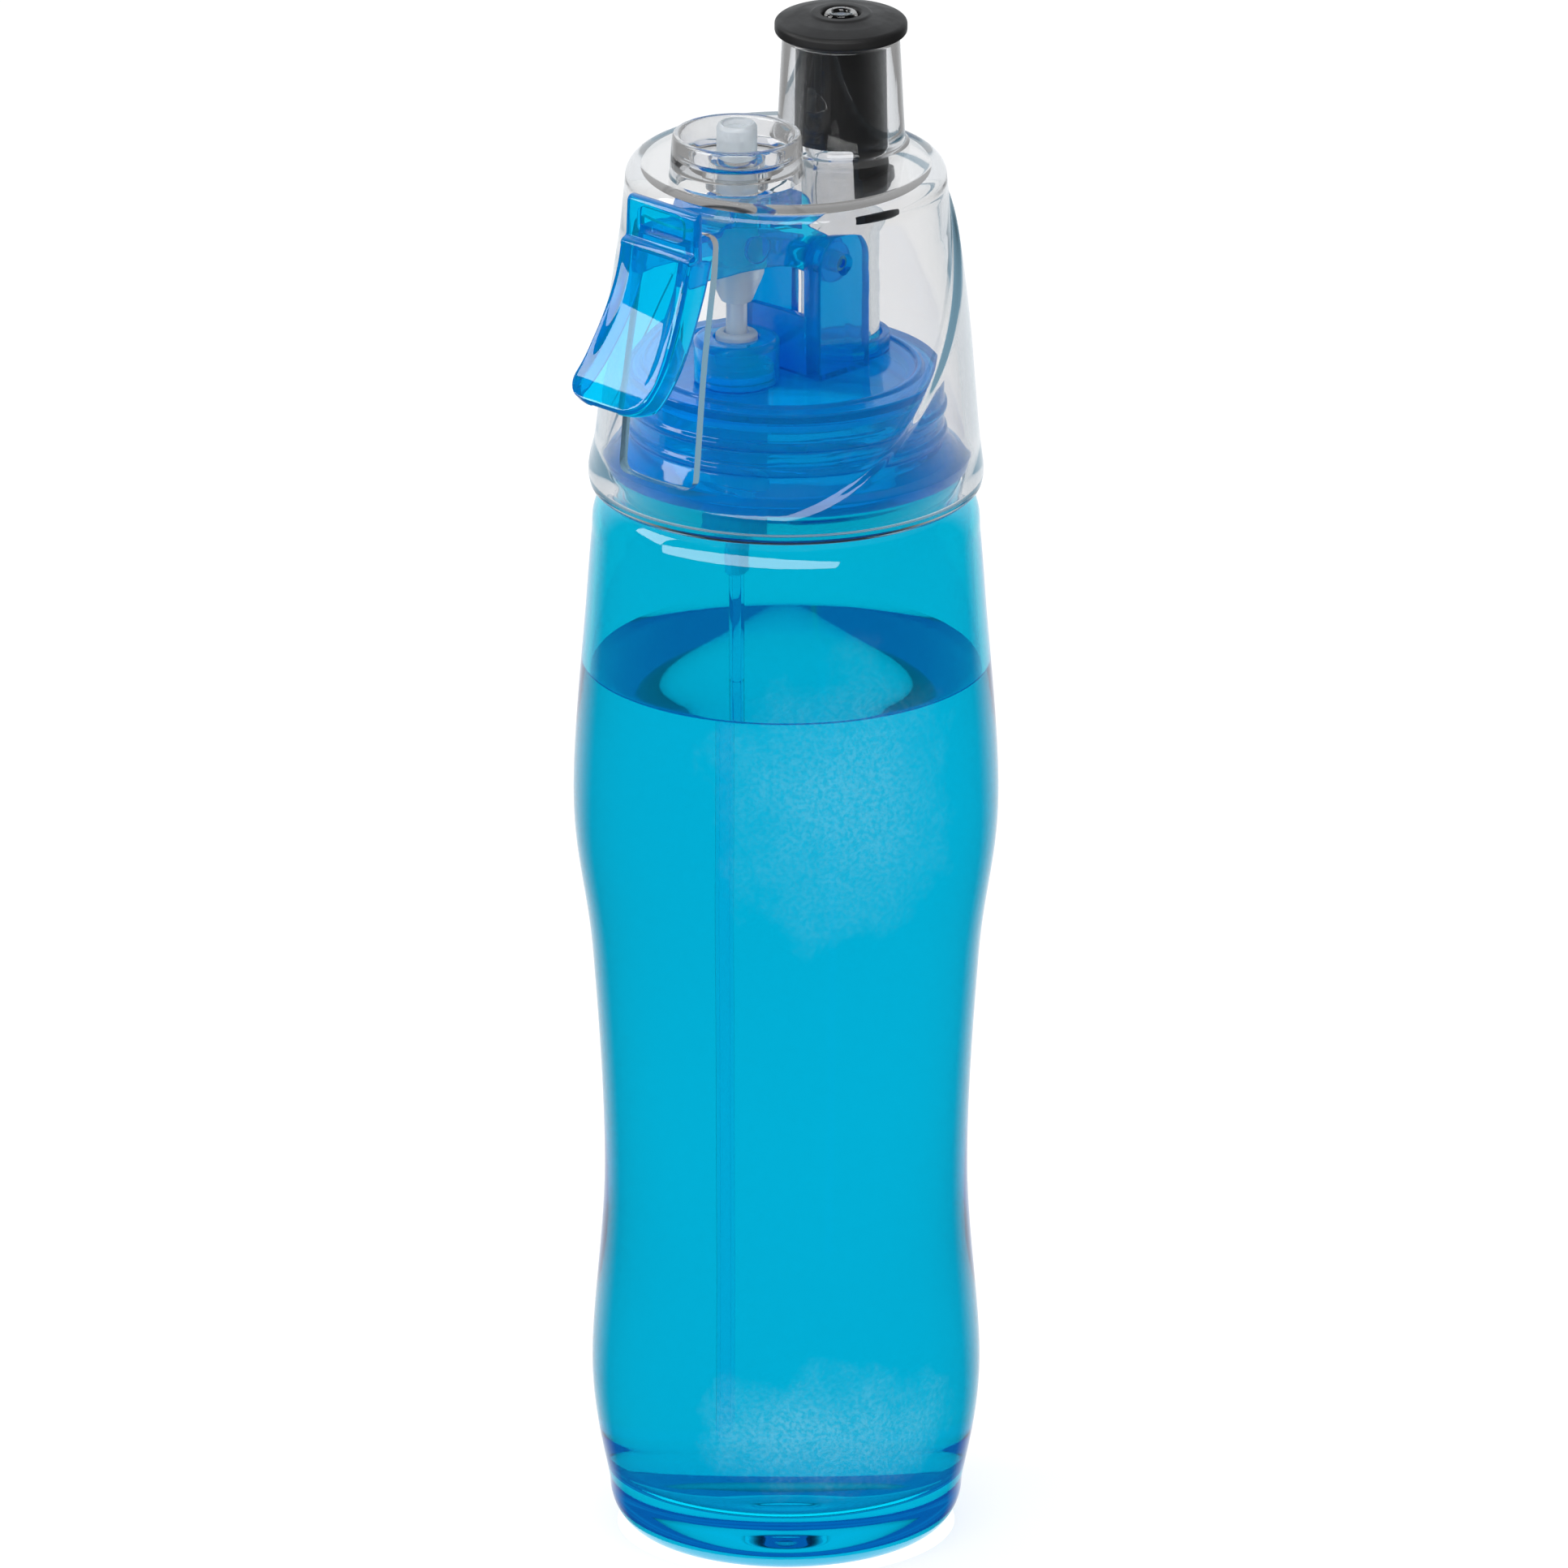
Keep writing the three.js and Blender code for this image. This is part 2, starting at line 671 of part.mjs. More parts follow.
// The black push-pull valve. A leg hangs from its barrel through the shroud, and the leg's barb stops
// it when it is pulled up.
function spoutValve() {
  const barrelBottom = 248.5;
  const cap = turned(
    [
      [6.75, barrelBottom],
      [VALVE_R, barrelBottom],
      [VALVE_R, TOWER_TOP + GAP],
      [11, TOWER_TOP + GAP],
      [11.4, 267.7],
      [11.4, 269.1],
      [11, 269.5],
      [8.2, 270.3],
      [3.9, 270.9],
      [3.3, 270.7],
      [3.3, 268.3],
      [6.75, 267.6],
    ],
    MEDIUM_ROUND,
  );
  const legBottom = 239.6;
  const barbTop = PLATE_Z - PLATE_T - VALVE_LIFT - GAP;
  const skirt = turned(
    [
      [7.1, legBottom],
      [VALVE_R, legBottom],
      [9, legBottom + 1],
      [9, barbTop],
      [VALVE_R, barbTop],
      [VALVE_R, barrelBottom + 0.5],
      [7.1, barrelBottom + 0.5],
    ],
    MEDIUM_ROUND,
  );
  const sector = box(0, 10, -3.4, 5.2, legBottom - 1, barrelBottom + 1);
  return cap.add(skirt.intersect(sector));
}

// ---- assembly -------------------------------------------------------------------------------

const group = (x, y, z, ...children) => {
  const made = new THREE.Group();
  made.position.set(x, y, z);
  made.add(...children);
  return made;
};

const ball = piece('check_ball', checkBall(), material.steel);
ball.position.z = CHAMBER_Z - 3.45;

const pump = group(
  0,
  -PUMP_FORWARD,
  0,
  piece('pump_cap', pumpCap(), material.capBlue),
  piece('pump_gasket', pumpGasket(), material.seal),
  piece('pump_cylinder', pumpCylinder(), material.white),
  piece('pump_collar', pumpCollar(), material.white),
  piece('pump_spring', pumpSpring(), material.steel),
  piece('pump_piston', pumpPiston(), material.white),
  piece('pump_stem', pumpStem(), material.white),
  piece('mist_head', mistHead(), material.white),
  piece('nozzle_insert', nozzleInsert(), material.white),
  piece('dip_tube', dipTube(), material.clear),
  ball,
);

const pivot = group(
  0,
  -PIVOT_FORWARD,
  PIVOT_Z,
  piece('trigger_lever', triggerLever(), material.triggerBlue),
  piece('hinge_pin', hingePin(), material.capBlue),
);

const spout = group(
  0,
  SPOUT_BACK,
  0,
  piece('drink_tube', drinkTube(), material.clear),
  piece('drink_tube_seal', drinkTubeSeal(), material.seal),
  piece('spout_o_ring', spoutORing(), material.seal),
  piece('spout_valve', spoutValve(), material.black),
);

const bottle = new THREE.Group();
bottle.add(
  piece('bottle_body', bottleBody(), material.bottleBlue),
  piece('neck_gasket', neckGasket(), material.seal),
  piece('screw_cap', screwCap(), material.capBlue),
  piece('shroud', shroud(), material.clear),
  pump,
  pivot,
  spout,
);

export default bottle;
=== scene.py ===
"""The looks of a sports squeeze bottle with a mist trigger and a push-pull spout.

Outlines are in millimetres in the CAD's frame, as (radius, z) pairs for turned parts. Every mesh
is made in millimetres and scaled to metres when it is placed on its body.
"""
import json
import math

import bmesh
import bpy
from mathutils import Matrix, Vector


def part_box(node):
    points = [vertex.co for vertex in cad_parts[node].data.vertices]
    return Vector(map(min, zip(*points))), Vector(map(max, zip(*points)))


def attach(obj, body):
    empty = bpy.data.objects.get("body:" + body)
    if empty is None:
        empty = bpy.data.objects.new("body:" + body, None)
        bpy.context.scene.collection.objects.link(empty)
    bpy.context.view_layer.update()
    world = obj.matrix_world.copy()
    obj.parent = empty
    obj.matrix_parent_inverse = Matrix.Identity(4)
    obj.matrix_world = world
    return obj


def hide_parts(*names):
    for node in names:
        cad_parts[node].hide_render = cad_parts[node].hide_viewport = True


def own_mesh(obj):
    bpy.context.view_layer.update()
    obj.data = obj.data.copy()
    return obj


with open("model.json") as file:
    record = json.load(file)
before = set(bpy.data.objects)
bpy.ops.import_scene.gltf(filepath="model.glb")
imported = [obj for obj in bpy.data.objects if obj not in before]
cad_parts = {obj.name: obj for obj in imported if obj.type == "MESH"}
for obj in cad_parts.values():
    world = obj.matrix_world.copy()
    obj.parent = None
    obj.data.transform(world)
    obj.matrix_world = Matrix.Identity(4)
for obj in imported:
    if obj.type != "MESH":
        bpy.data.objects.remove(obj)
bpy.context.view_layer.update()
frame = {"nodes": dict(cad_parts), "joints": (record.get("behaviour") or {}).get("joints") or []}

MM = 0.001
FINE = 160  # facets round a large turned part
SMALL = 64  # facets round a small one
VIEW_AZIMUTH = 45  # degrees round from the trigger, for the camera and the backdrop
VIEW_ELEVATION = 19.5
CAUGHT_AFTER = 11.5  # bounces after which light counts as caught inside a piece, mirrored ones four times


def span(node):
    """A node's lowest and highest corner in millimetres."""
    low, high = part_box(node)
    return Vector(low) / MM, Vector(high) / MM


def middle(node):
    """The middle of a node's box in millimetres."""
    low, high = span(node)
    return (low + high) / 2


# ---- places taken from the frame ----------------------------------------------------------------

CHEST_R, RIM_Z = span("bottle_body")[1].xz
PUMP_Y = middle("pump_cap").y
SPOUT_Y = middle("drink_tube").y
PIN = middle("hinge_pin")
GAP = 0.3  # between separate pieces
DECK_Z = span("pump_cap")[0].z - GAP
PLATE_Z = 247.6  # top of the shroud's plate
SHROUD_LOW = span("shroud")[0].z
TOWER_TOP = span("shroud")[1].z


def joint_range(name):
    """How far a joint goes at its upper end."""
    return next(joint for joint in frame["joints"] if joint["name"] == name)["range_m"][1]


# ---- outlines -----------------------------------------------------------------------------------


def arc(cx, cy, rx, ry, start, end, steps):
    """Points on an arc, angles in degrees."""
    angles = [math.radians(start + (end - start) * k / steps) for k in range(steps + 1)]
    return [(cx + rx * math.cos(a), cy + ry * math.sin(a)) for a in angles]


def spline(points, steps):
    """Points on a smooth curve through the given ones."""
    last = len(points) - 1
    result = []
    for k in range(steps + 1):
        t = last * k / steps
        i = min(int(t), last - 1)
        w = t - i
        near = [points[max(i - 1, 0)], points[i], points[i + 1], points[min(i + 2, last)]]
        result.append(tuple(catmull(*axis, w) for axis in zip(*near)))
    return result


def catmull(a, b, c, d, w):
    """A value a share w of the way from b to c, on a smooth curve through all four."""
    v0, v1 = (c - a) / 2, (d - b) / 2
    return (2 * b - 2 * c + v0 + v1) * w**3 + (-3 * b + 3 * c - 2 * v0 - v1) * w**2 + v0 * w + b


def fillet(outline, radius, closed=True, steps=3):
    """The outline with its corners rounded by up to the radius."""
    points = [Vector(p) for p in outline]
    count = len(points)
    result = []
    for i, p in enumerate(points):
        if not closed and i in (0, count - 1):
            result.append(tuple(p))
            continue
        before, after = points[i - 1] - p, points[(i + 1) % count] - p
        cut = min(radius, 0.45 * before.length, 0.45 * after.length)
        start, end = p + before.normalized() * cut, p + after.normalized() * cut
        for k in range(steps + 1):
            w = k / steps
            result.append(tuple(start * (1 - w) ** 2 + p * 2 * w * (1 - w) + end * w**2))
    return result


def radius_at(outline, z):
    """The radius of a rising outline at a height."""
    for (r0, z0), (r1, z1) in zip(outline, outline[1:]):
        if z0 <= z <= z1:
            return r0 + (r1 - r0) * (z - z0) / max(z1 - z0, 1e-9)
    return outline[-1][0] if z > outline[-1][1] else outline[0][0]


def ease(t):
    """A smooth step from 0 to 1."""
    t = min(max(t, 0), 1)
    return t * t * (3 - 2 * t)


# ---- meshes -------------------------------------------------------------------------------------


def to_object(name, bm):
    """A new object from the mesh, with its faces turned outwards."""
    bmesh.ops.recalc_face_normals(bm, faces=bm.faces)
    mesh = bpy.data.meshes.new(name)
    bm.to_mesh(mesh)
    bm.free()
    made = bpy.data.objects.new(name, mesh)
    bpy.context.scene.collection.objects.link(made)
    return made


def add_rows(bm, rings):
    """The rings' points as a mesh's points."""
    return [[bm.verts.new(p) for p in ring] for ring in rings]


def join_rows(bm, low, high):
    """Faces between two rows of a mesh's points. A row of one point is a pole."""
    count = max(len(low), len(high))
    for k in range(count):
        n = (k + 1) % count
        if len(low) == 1:
            bm.faces.new((low[0], high[n], high[k]))
        elif len(high) == 1:
            bm.faces.new((low[k], low[n], high[0]))
        else:
            bm.faces.new((low[k], low[n], high[n], high[k]))


def ringed(name, rings, loops):
    """A mesh whose neighbouring rings of points are joined, and the last to the first if it loops."""
    bm = bmesh.new()
    rows = add_rows(bm, rings)
    pairs = list(zip(rows, rows[1:]))
    if loops:
        pairs.append((rows[-1], rows[0]))
    for low, high in pairs:
        join_rows(bm, low, high)
    return to_object(name, bm)


def revolve(name, outline, y=0.0, segments=SMALL, shape=None):
    """A turned solid about an upright axis at y. shape(angle, r, z) gives a point's own radius."""
    angles = [2 * math.pi * k / segments for k in range(segments)]
    rings = []
    for r, z in outline:
        if r < 1e-6:
            rings.append([(0, y, z)])
            continue
        ring = []
        for angle in angles:
            own = shape(angle, r, z) if shape else r
            ring.append((own * math.cos(angle), y + own * math.sin(angle), z))
        rings.append(ring)
    return ringed(name, rings, loops=outline[0][0] > 1e-6)


def prism(name, outline, start, end, soften=0.0, along="x"):
    """A slab from start to end along x, with its outline in (y, z), or along y, with it in (x, z)."""
    bm = bmesh.new()
    ends = []
    for depth in (start, end):
        points = [(depth, w, z) if along == "x" else (w, depth, z) for w, z in outline]
        ends.append([bm.verts.new(p) for p in points])
    bm.faces.new(ends[0])
    bm.faces.new(ends[1])
    count = len(outline)
    for k in range(count):
        n = (k + 1) % count
        bm.faces.new((ends[0][k], ends[0][n], ends[1][n], ends[1][k]))
    made = to_object(name, bm)
    if soften:
        bevel(made, soften)
    return made


def cross_bore(name, radius, reach=12):
    """A cutter for a bore along x through the trigger's pivot."""
    made = revolve(name, [(0, -reach), (radius, -reach), (radius, reach), (0, reach)])
    return to_pivot(made)


def to_pivot(obj):
    """Lays a turned part along x at the trigger's pivot."""
    obj.data.transform(Matrix.Translation(PIN) @ Matrix.Rotation(math.pi / 2, 4, "Y"))
    return obj


def bevel(obj, width, angle=50, segments=3):
    """Rounds the edges that are sharper than an angle."""
    modifier = obj.modifiers.new("soft_edges", "BEVEL")
    modifier.width = width
    modifier.segments = segments
    modifier.limit_method = "ANGLE"
    modifier.angle_limit = math.radians(angle)
    apply_modifiers(obj)


def apply_modifiers(obj):
    evaluated = obj.evaluated_get(bpy.context.evaluated_depsgraph_get())
    mesh = bpy.data.meshes.new_from_object(evaluated)
    obj.modifiers.clear()
    obj.data = mesh


def combine(obj, operation, *tools):
    """Joins the tools to the object, or cuts them from it."""
    for tool in tools:
        modifier = obj.modifiers.new("combine", "BOOLEAN")
        modifier.object = tool
        modifier.operation = operation
        modifier.solver = "MANIFOLD"
        apply_modifiers(obj)
        bpy.data.objects.remove(tool)
    return obj


def mark(obj, name, test):
    """A number on each face, 1 where the test holds, for its material to read."""
    flags = obj.data.attributes.new(name, "FLOAT", "FACE")
    flags.data.foreach_set("value", [float(test(face)) for face in obj.data.polygons])


def place(obj, body, slot, material, *replaced, sharp=32):
    """Scales a finished mesh to metres, gives it its material, and sets it on its body."""
    obj.data.transform(Matrix.Scale(MM, 4))
    obj.data.shade_smooth()
    obj.data.set_sharp_from_angle(angle=math.radians(sharp))
    obj.data.materials.clear()
    obj.data.materials.append(material)
    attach(obj, body)
    if replaced:
        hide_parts(*replaced)
    return obj


# ---- materials ----------------------------------------------------------------------------------


def add_node(tree, kind, values=None, **settings):
    """A node with its settings, and its inputs either linked or set to plain values."""
    node = tree.nodes.new(kind)
    for key, value in settings.items():
        setattr(node, key, value)
    for key, value in (values or {}).items():
        if isinstance(value, bpy.types.NodeSocket):
            tree.links.new(value, node.inputs[key])
        else:
            node.inputs[key].default_value = value
    return node


class Nodes:
    """A material's node tree, with short calls to add and join nodes."""

    def __init__(self, name):
        self.material = bpy.data.materials.new(name)
        self.material.use_nodes = True
        self.tree = self.material.node_tree
        self.tree.nodes.clear()
        self.out = self.add("ShaderNodeOutputMaterial")
        self.place = self.add("ShaderNodeTexCoord").outputs["Object"]

    def add(self, kind, values=None, **settings):
        return add_node(self.tree, kind, values, **settings)

    def math(self, operation, *inputs):
        """A Math node's value."""
        return self.add("ShaderNodeMath", dict(enumerate(inputs)), operation=operation).outputs[0]

    def mix(self, factor, first, second):
        """A shader between two."""
        return self.add("ShaderNodeMixShader", {0: factor, 1: first, 2: second}).outputs["Shader"]

    def from_middle(self):
        """The distance from the object's origin."""
        return self.add("ShaderNodeVectorMath", {0: self.place}, operation="LENGTH").outputs["Value"]

    def noise(self, scale, detail=3.0, rough=0.5):
        """Noise with features about 1/scale metres across."""
        values = {"Vector": self.place, "Scale": scale, "Detail": detail, "Roughness": rough}
        return self.add("ShaderNodeTexNoise", values).outputs["Fac"]

    def spread(self, factor, low, high, start=0.3, end=0.7):
        """A value from low to high, as the factor goes from start to end."""
        values = {"Value": factor, "From Min": start, "From Max": end, "To Min": low, "To Max": high}
        return self.add("ShaderNodeMapRange", values).outputs["Result"]

    def blend(self, factor, first, second):
        """A colour between two."""
        node = self.add("ShaderNodeMix", data_type="RGBA")
        self.tree.links.new(factor, node.inputs[0])
        node.inputs[6].default_value = (*first, 1)
        node.inputs[7].default_value = (*second, 1)
        return node.outputs[2]

    def bump(self, height, depth, strength=1.0):
        """Bumps of the given depth in metres."""
        values = {"Height": height, "Distance": depth, "Strength": strength}
        return self.add("ShaderNodeBump", values).outputs["Normal"]

    def misted(self, centre, reach, tall, most):
        """How much of the surface droplets cover, round a centre, with a soft, broken edge."""
        values = {0: self.place, 1: centre}
        away = self.add("ShaderNodeVectorMath", values, operation="SUBTRACT").outputs["Vector"]
        values = {0: away, 1: (1 / reach, 1 / reach, 1 / tall)}
        scaled = self.add("ShaderNodeVectorMath", values, operation="MULTIPLY").outputs["Vector"]
        far = self.add("ShaderNodeVectorMath", {0: scaled}, operation="LENGTH").outputs["Value"]
        edge = self.math("MULTIPLY_ADD", self.noise(60, 5, 0.65), 1.8, far)
        patch = self.spread(edge, 1, 0, 0.9, 2.1)
        drops = self.spread(self.noise(1300, 4, 0.7), 0.25, 1.2, 0.42, 0.6)
        return self.math("MULTIPLY", self.math("MULTIPLY", patch, drops), most)

    def finish(self, surface, volume=None):
        self.tree.links.new(surface, self.out.inputs["Surface"])
        if volume:
            self.tree.links.new(volume, self.out.inputs["Volume"])
        return self.material


GLOW_CHANGES = (0.228, 0.244)  # heights between which the painted glow gives way from low_glow to glow


def see_through(
    name,
    passed,
    depth,
    ior,
    rough=(0.0, 0.03),
    face=(1, 1, 1),
    wave=6e-6,
    clear=1.0,
    gloss=0.5,
    wet_ior=None,
    glow=(0.4, 0.4, 0.4),
    low_glow=None,
    mist=(),
):
    """A clear or tinted plastic, or water. passed is the colour that gets through depth metres of
    it, face the colour of its surface, and clear how much of it is see-through rather than milky.
    Moulding leaves slow waves in the surface, and handling leaves patches that are a little less
    polished. Where water wets the surface light bends by wet_ior, or goes straight on if that is 1.
    glow is what light that is caught inside adds up to, low_glow the same beside the blue cap, and
    mist lists patches of fine droplets."""
    n = Nodes(name)
    values = {
        "Base Color": n.blend(n.noise(35, 2), face, tuple(c * 0.985 for c in face)),
        "Roughness": n.spread(n.noise(90, 4), *rough),
        "IOR": ior,
        "Normal": n.bump(n.noise(160, 2), wave),
        "Transmission Weight": clear,
        "Specular IOR Level": gloss,
    }
    glass = n.add("ShaderNodeBsdfPrincipled", values).outputs["BSDF"]
    if wet_ior:
        wetted = n.add("ShaderNodeAttribute", attribute_name="wetted").outputs["Fac"]
        if wet_ior == 1:
            wet = n.add("ShaderNodeBsdfTransparent", {"Color": (1, 1, 1, 1)}).outputs["BSDF"]
        else:
            wet = n.add("ShaderNodeBsdfPrincipled", {**values, "IOR": wet_ior}).outputs["BSDF"]
        glass = n.mix(wetted, glass, wet)
    for patch in mist:
        values = {"Color": (0.8, 0.95, 1, 1), "Roughness": 1.0}
        drops = n.add("ShaderNodeBsdfDiffuse", values).outputs["BSDF"]
        glass = n.mix(n.misted(*patch), glass, drops)
    # Painted light: past CAUGHT_AFTER bounces the surface glows with the glow colour (low_glow below
    # GLOW_CHANGES), standing in for light caught inside the piece.
    path = n.add("ShaderNodeLightPath")
    bounces = n.math("MULTIPLY_ADD", path.outputs["Glossy Depth"], 3.0, path.outputs["Ray Depth"])
    caught = n.math("GREATER_THAN", bounces, CAUGHT_AFTER)
    height = n.add("ShaderNodeSeparateXYZ", {0: n.place}).outputs["Z"]
    colour = n.blend(n.spread(height, 0, 1, *GLOW_CHANGES), low_glow or glow, glow)
    painted_glow = n.add("ShaderNodeEmission", {"Color": colour, "Strength": 1.0}).outputs["Emission"]
    glass = n.mix(caught, glass, painted_glow)
    lamp_tint = (*[c * 0.92 for c in face], 1)
    lamps = n.add("ShaderNodeBsdfTransparent", {"Color": lamp_tint}).outputs["BSDF"]
    mixed = n.mix(path.outputs["Is Shadow Ray"], glass, lamps)
    losses = [-math.log(max(c, 1e-3)) / depth for c in passed]
    density = max(losses)
    colour = (*[1 - loss / density for loss in losses], 1)
    inside = n.add("ShaderNodeVolumeAbsorption", {"Color": colour, "Density": density})
    return n.finish(mixed, inside.outputs["Volume"])


def solid_plastic(name, first, second, rough, grain=900, depth=1.2e-5, soft=0.0, level=0.5, coat=0.0):
    """An opaque or milky plastic with moulded grain. soft is how far light spreads inside it."""
    n = Nodes(name)
    fine = n.noise(grain, 5, 0.6)
    values = {
        "Base Color": n.blend(n.noise(60, 4), first, second),
        "Roughness": n.spread(n.noise(220, 4), *rough),
        "Normal": n.bump(fine, depth),
        "Specular IOR Level": level,
        "Coat Weight": coat,
    }
    if soft:
        values["Subsurface Weight"] = soft
        values["Subsurface Radius"] = (0.004, 0.004, 0.004)
        values["Subsurface Scale"] = 0.5
    return n.finish(n.add("ShaderNodeBsdfPrincipled", values).outputs["BSDF"])


def drawn_steel(name):
    """Bright drawn wire, with fine lines along it."""
    n = Nodes(name)
    lines = n.noise(2600, 3, 0.7)
    values = {
        "Base Color": n.blend(lines, (0.45, 0.45, 0.46), (0.62, 0.62, 0.63)),
        "Metallic": 1.0,
        "Roughness": n.spread(lines, 0.18, 0.38),
        "Normal": n.bump(lines, 4e-6),
    }
    return n.finish(n.add("ShaderNodeBsdfPrincipled", values).outputs["BSDF"])


PLASTIC_IOR = 1.5
WATER_IOR = 1.33
BOTTLE_BLUE = see_through(
    "bottle_plastic",
    (0.2, 0.992, 0.999),
    0.0016,
    PLASTIC_IOR,
    face=(0.0, 0.675, 0.815),
    wet_ior=PLASTIC_IOR / WATER_IOR,
    glow=(0.0, 0.3, 0.62),
    mist=[
        ((0.0286, -0.0165, 0.143), 0.019, 0.023, 0.075),
        ((0.0286, -0.0165, 0.026), 0.021, 0.011, 0.12),
    ],
)
WATER = see_through(
    "water",
    (0.85, 0.95, 1.0),
    0.06,
    WATER_IOR,
    rough=(0.0, 0.0),
    wave=2e-6,
    wet_ior=1,
    glow=(0.0, 0.3, 0.65),
)
CAP_BLUE = see_through(
    "cap_plastic",
    (0.05, 0.75, 0.94),
    0.0025,
    PLASTIC_IOR,
    rough=(0.03, 0.1),
    face=(0.0, 0.63, 0.95),
    clear=0.85,
    gloss=0.3,
    glow=(0.0, 0.14, 0.42),
)
TRIGGER_BLUE = see_through(
    "trigger_plastic",
    (0.3, 0.8, 0.95),
    0.002,
    PLASTIC_IOR,
    rough=(0.0, 0.04),
    face=(0.0, 0.68, 0.91),
    clear=0.88,
    gloss=0.4,
    glow=(0.0, 0.2, 0.6),
)
CLEAR = see_through(
    "clear_plastic",
    (0.965, 0.965, 0.965),
    0.0018,
    1.45,
    face=(0.95, 0.95, 0.95),
    # low_glow: the painted glow is bluer low in the shroud, beside the blue cap.
    low_glow=(0.24, 0.43, 0.56),
)
TUBE_CLEAR = see_through(
    "tube_plastic",
    (0.85, 0.96, 0.99),
    0.0012,
    1.07,
    rough=(0.02, 0.08),
    face=(0.95, 0.98, 1.0),
)
PIN_CLEAR = see_through("pin_plastic", (0.7, 0.9, 0.98), 0.002, PLASTIC_IOR, face=(0.55, 0.85, 1.0))
FROSTED = see_through(
    "frosted_plastic",
    (0.92, 0.95, 0.96),
    0.002,
    1.4,
    rough=(0.25, 0.4),
    face=(0.78, 0.8, 0.82),
    clear=0.7,
)
MILKY = solid_plastic("milky_plastic", (0.80, 0.85, 0.88), (0.72, 0.79, 0.84), (0.28, 0.45), soft=0.4)
SILICONE = solid_plastic("silicone", (0.70, 0.74, 0.77), (0.62, 0.67, 0.71), (0.5, 0.7), soft=0.3)
BLACK = solid_plastic(
    "black_valve",
    (0.008, 0.008, 0.0085),
    (0.012, 0.012, 0.0125),
    (0.38, 0.55),
    level=0.25,
)
STEEL = drawn_steel("spring_steel")


# ---- bottle and water ---------------------------------------------------------------------------

WALL = 1.6
FLOOR = 10  # the base is a thick solid disc
PAD_R = 3.8  # gate pad in the middle of the base
RECESS_H = 0.9  # how far the base is hollowed between its pad and its foot ring
INNER_HEEL = (29.9, 14.2)  # where the inside wall meets its own rounded corner
FOOT_R = 24.3
HEEL_R = 6  # the rounded corner's width
HEEL_H = 8
SHOULDER_R = 33.3
SHOULDER_LOW = 181
SHOULDER_Z = 192.6
SHOULDER = [
    (33.2, 183.5),
    (32.75, 185.4),
    (31.9, 187.2),
    (30.9, 188.5),
    (30.4, 189.6),
    (30.3, 191),
    (29.6, 192.2),
    (28.4, SHOULDER_Z),
]
INNER_SHOULDER = [
    (31.55, 183),
    (31.2, 184.6),
    (30.4, 186.2),
    (29.4, 187.7),
    (28.8, 188.9),
    (28.7, 189.8),
    (28, 190.6),
    (26.8, SHOULDER_Z - WALL),
]
NECK_R = 23.2
NECK_BORE = 21.3
SIDE = [
    (FOOT_R + HEEL_R, HEEL_H),
    (33.35, 29),
    (31.2, 65),
    (33.2, 104),
    (CHEST_R, 132),
    (34.25, 168.5),
    (SHOULDER_R, SHOULDER_LOW),
]
WATER_Z = 156
MENISCUS = 1.0  # how far the water's edge is drawn up
FILM = 0.04  # between the water and the wall

PITCH = 4
TURNS = 2
THREAD_Z = 195
THREAD_H = 1.6
ROOT_HALF = 0.8
CREST_HALF = 0.35
THREAD_STEP = 0.3  # between the rows of points that carry a thread


def ridge(angle, z, start):
    """How much of its height a thread's ridge has at a point, from 0 to 1."""
    height = 0
    for turn in range(TURNS):
        along = angle / (2 * math.pi) + turn
        away = abs(z - start - along * PITCH)
        fade = min(1, along * 10, (TURNS - along) * 10)
        height = max(height, ease((ROOT_HALF - away) / (ROOT_HALF - CREST_HALF)) * fade)
    return height


def inner_side():
    """The inside from the middle of the floor up, with a point on the water's line."""
    inside = [INNER_HEEL, *[(r - WALL, z) for r, z in SIDE[1:]]]
    corner_r = FOOT_R - 0.6
    heel = arc(corner_r, INNER_HEEL[1], INNER_HEEL[0] - corner_r, INNER_HEEL[1] - FLOOR, -90, 0, 12)
    side = spline(inside, 70)
    line = WATER_Z + MENISCUS
    side = [p for p in side if abs(p[1] - line) > 0.8] + [(radius_at(side, line), line)]
    return [(0, FLOOR), *heel[:-1], *sorted(side, key=lambda p: p[1])]


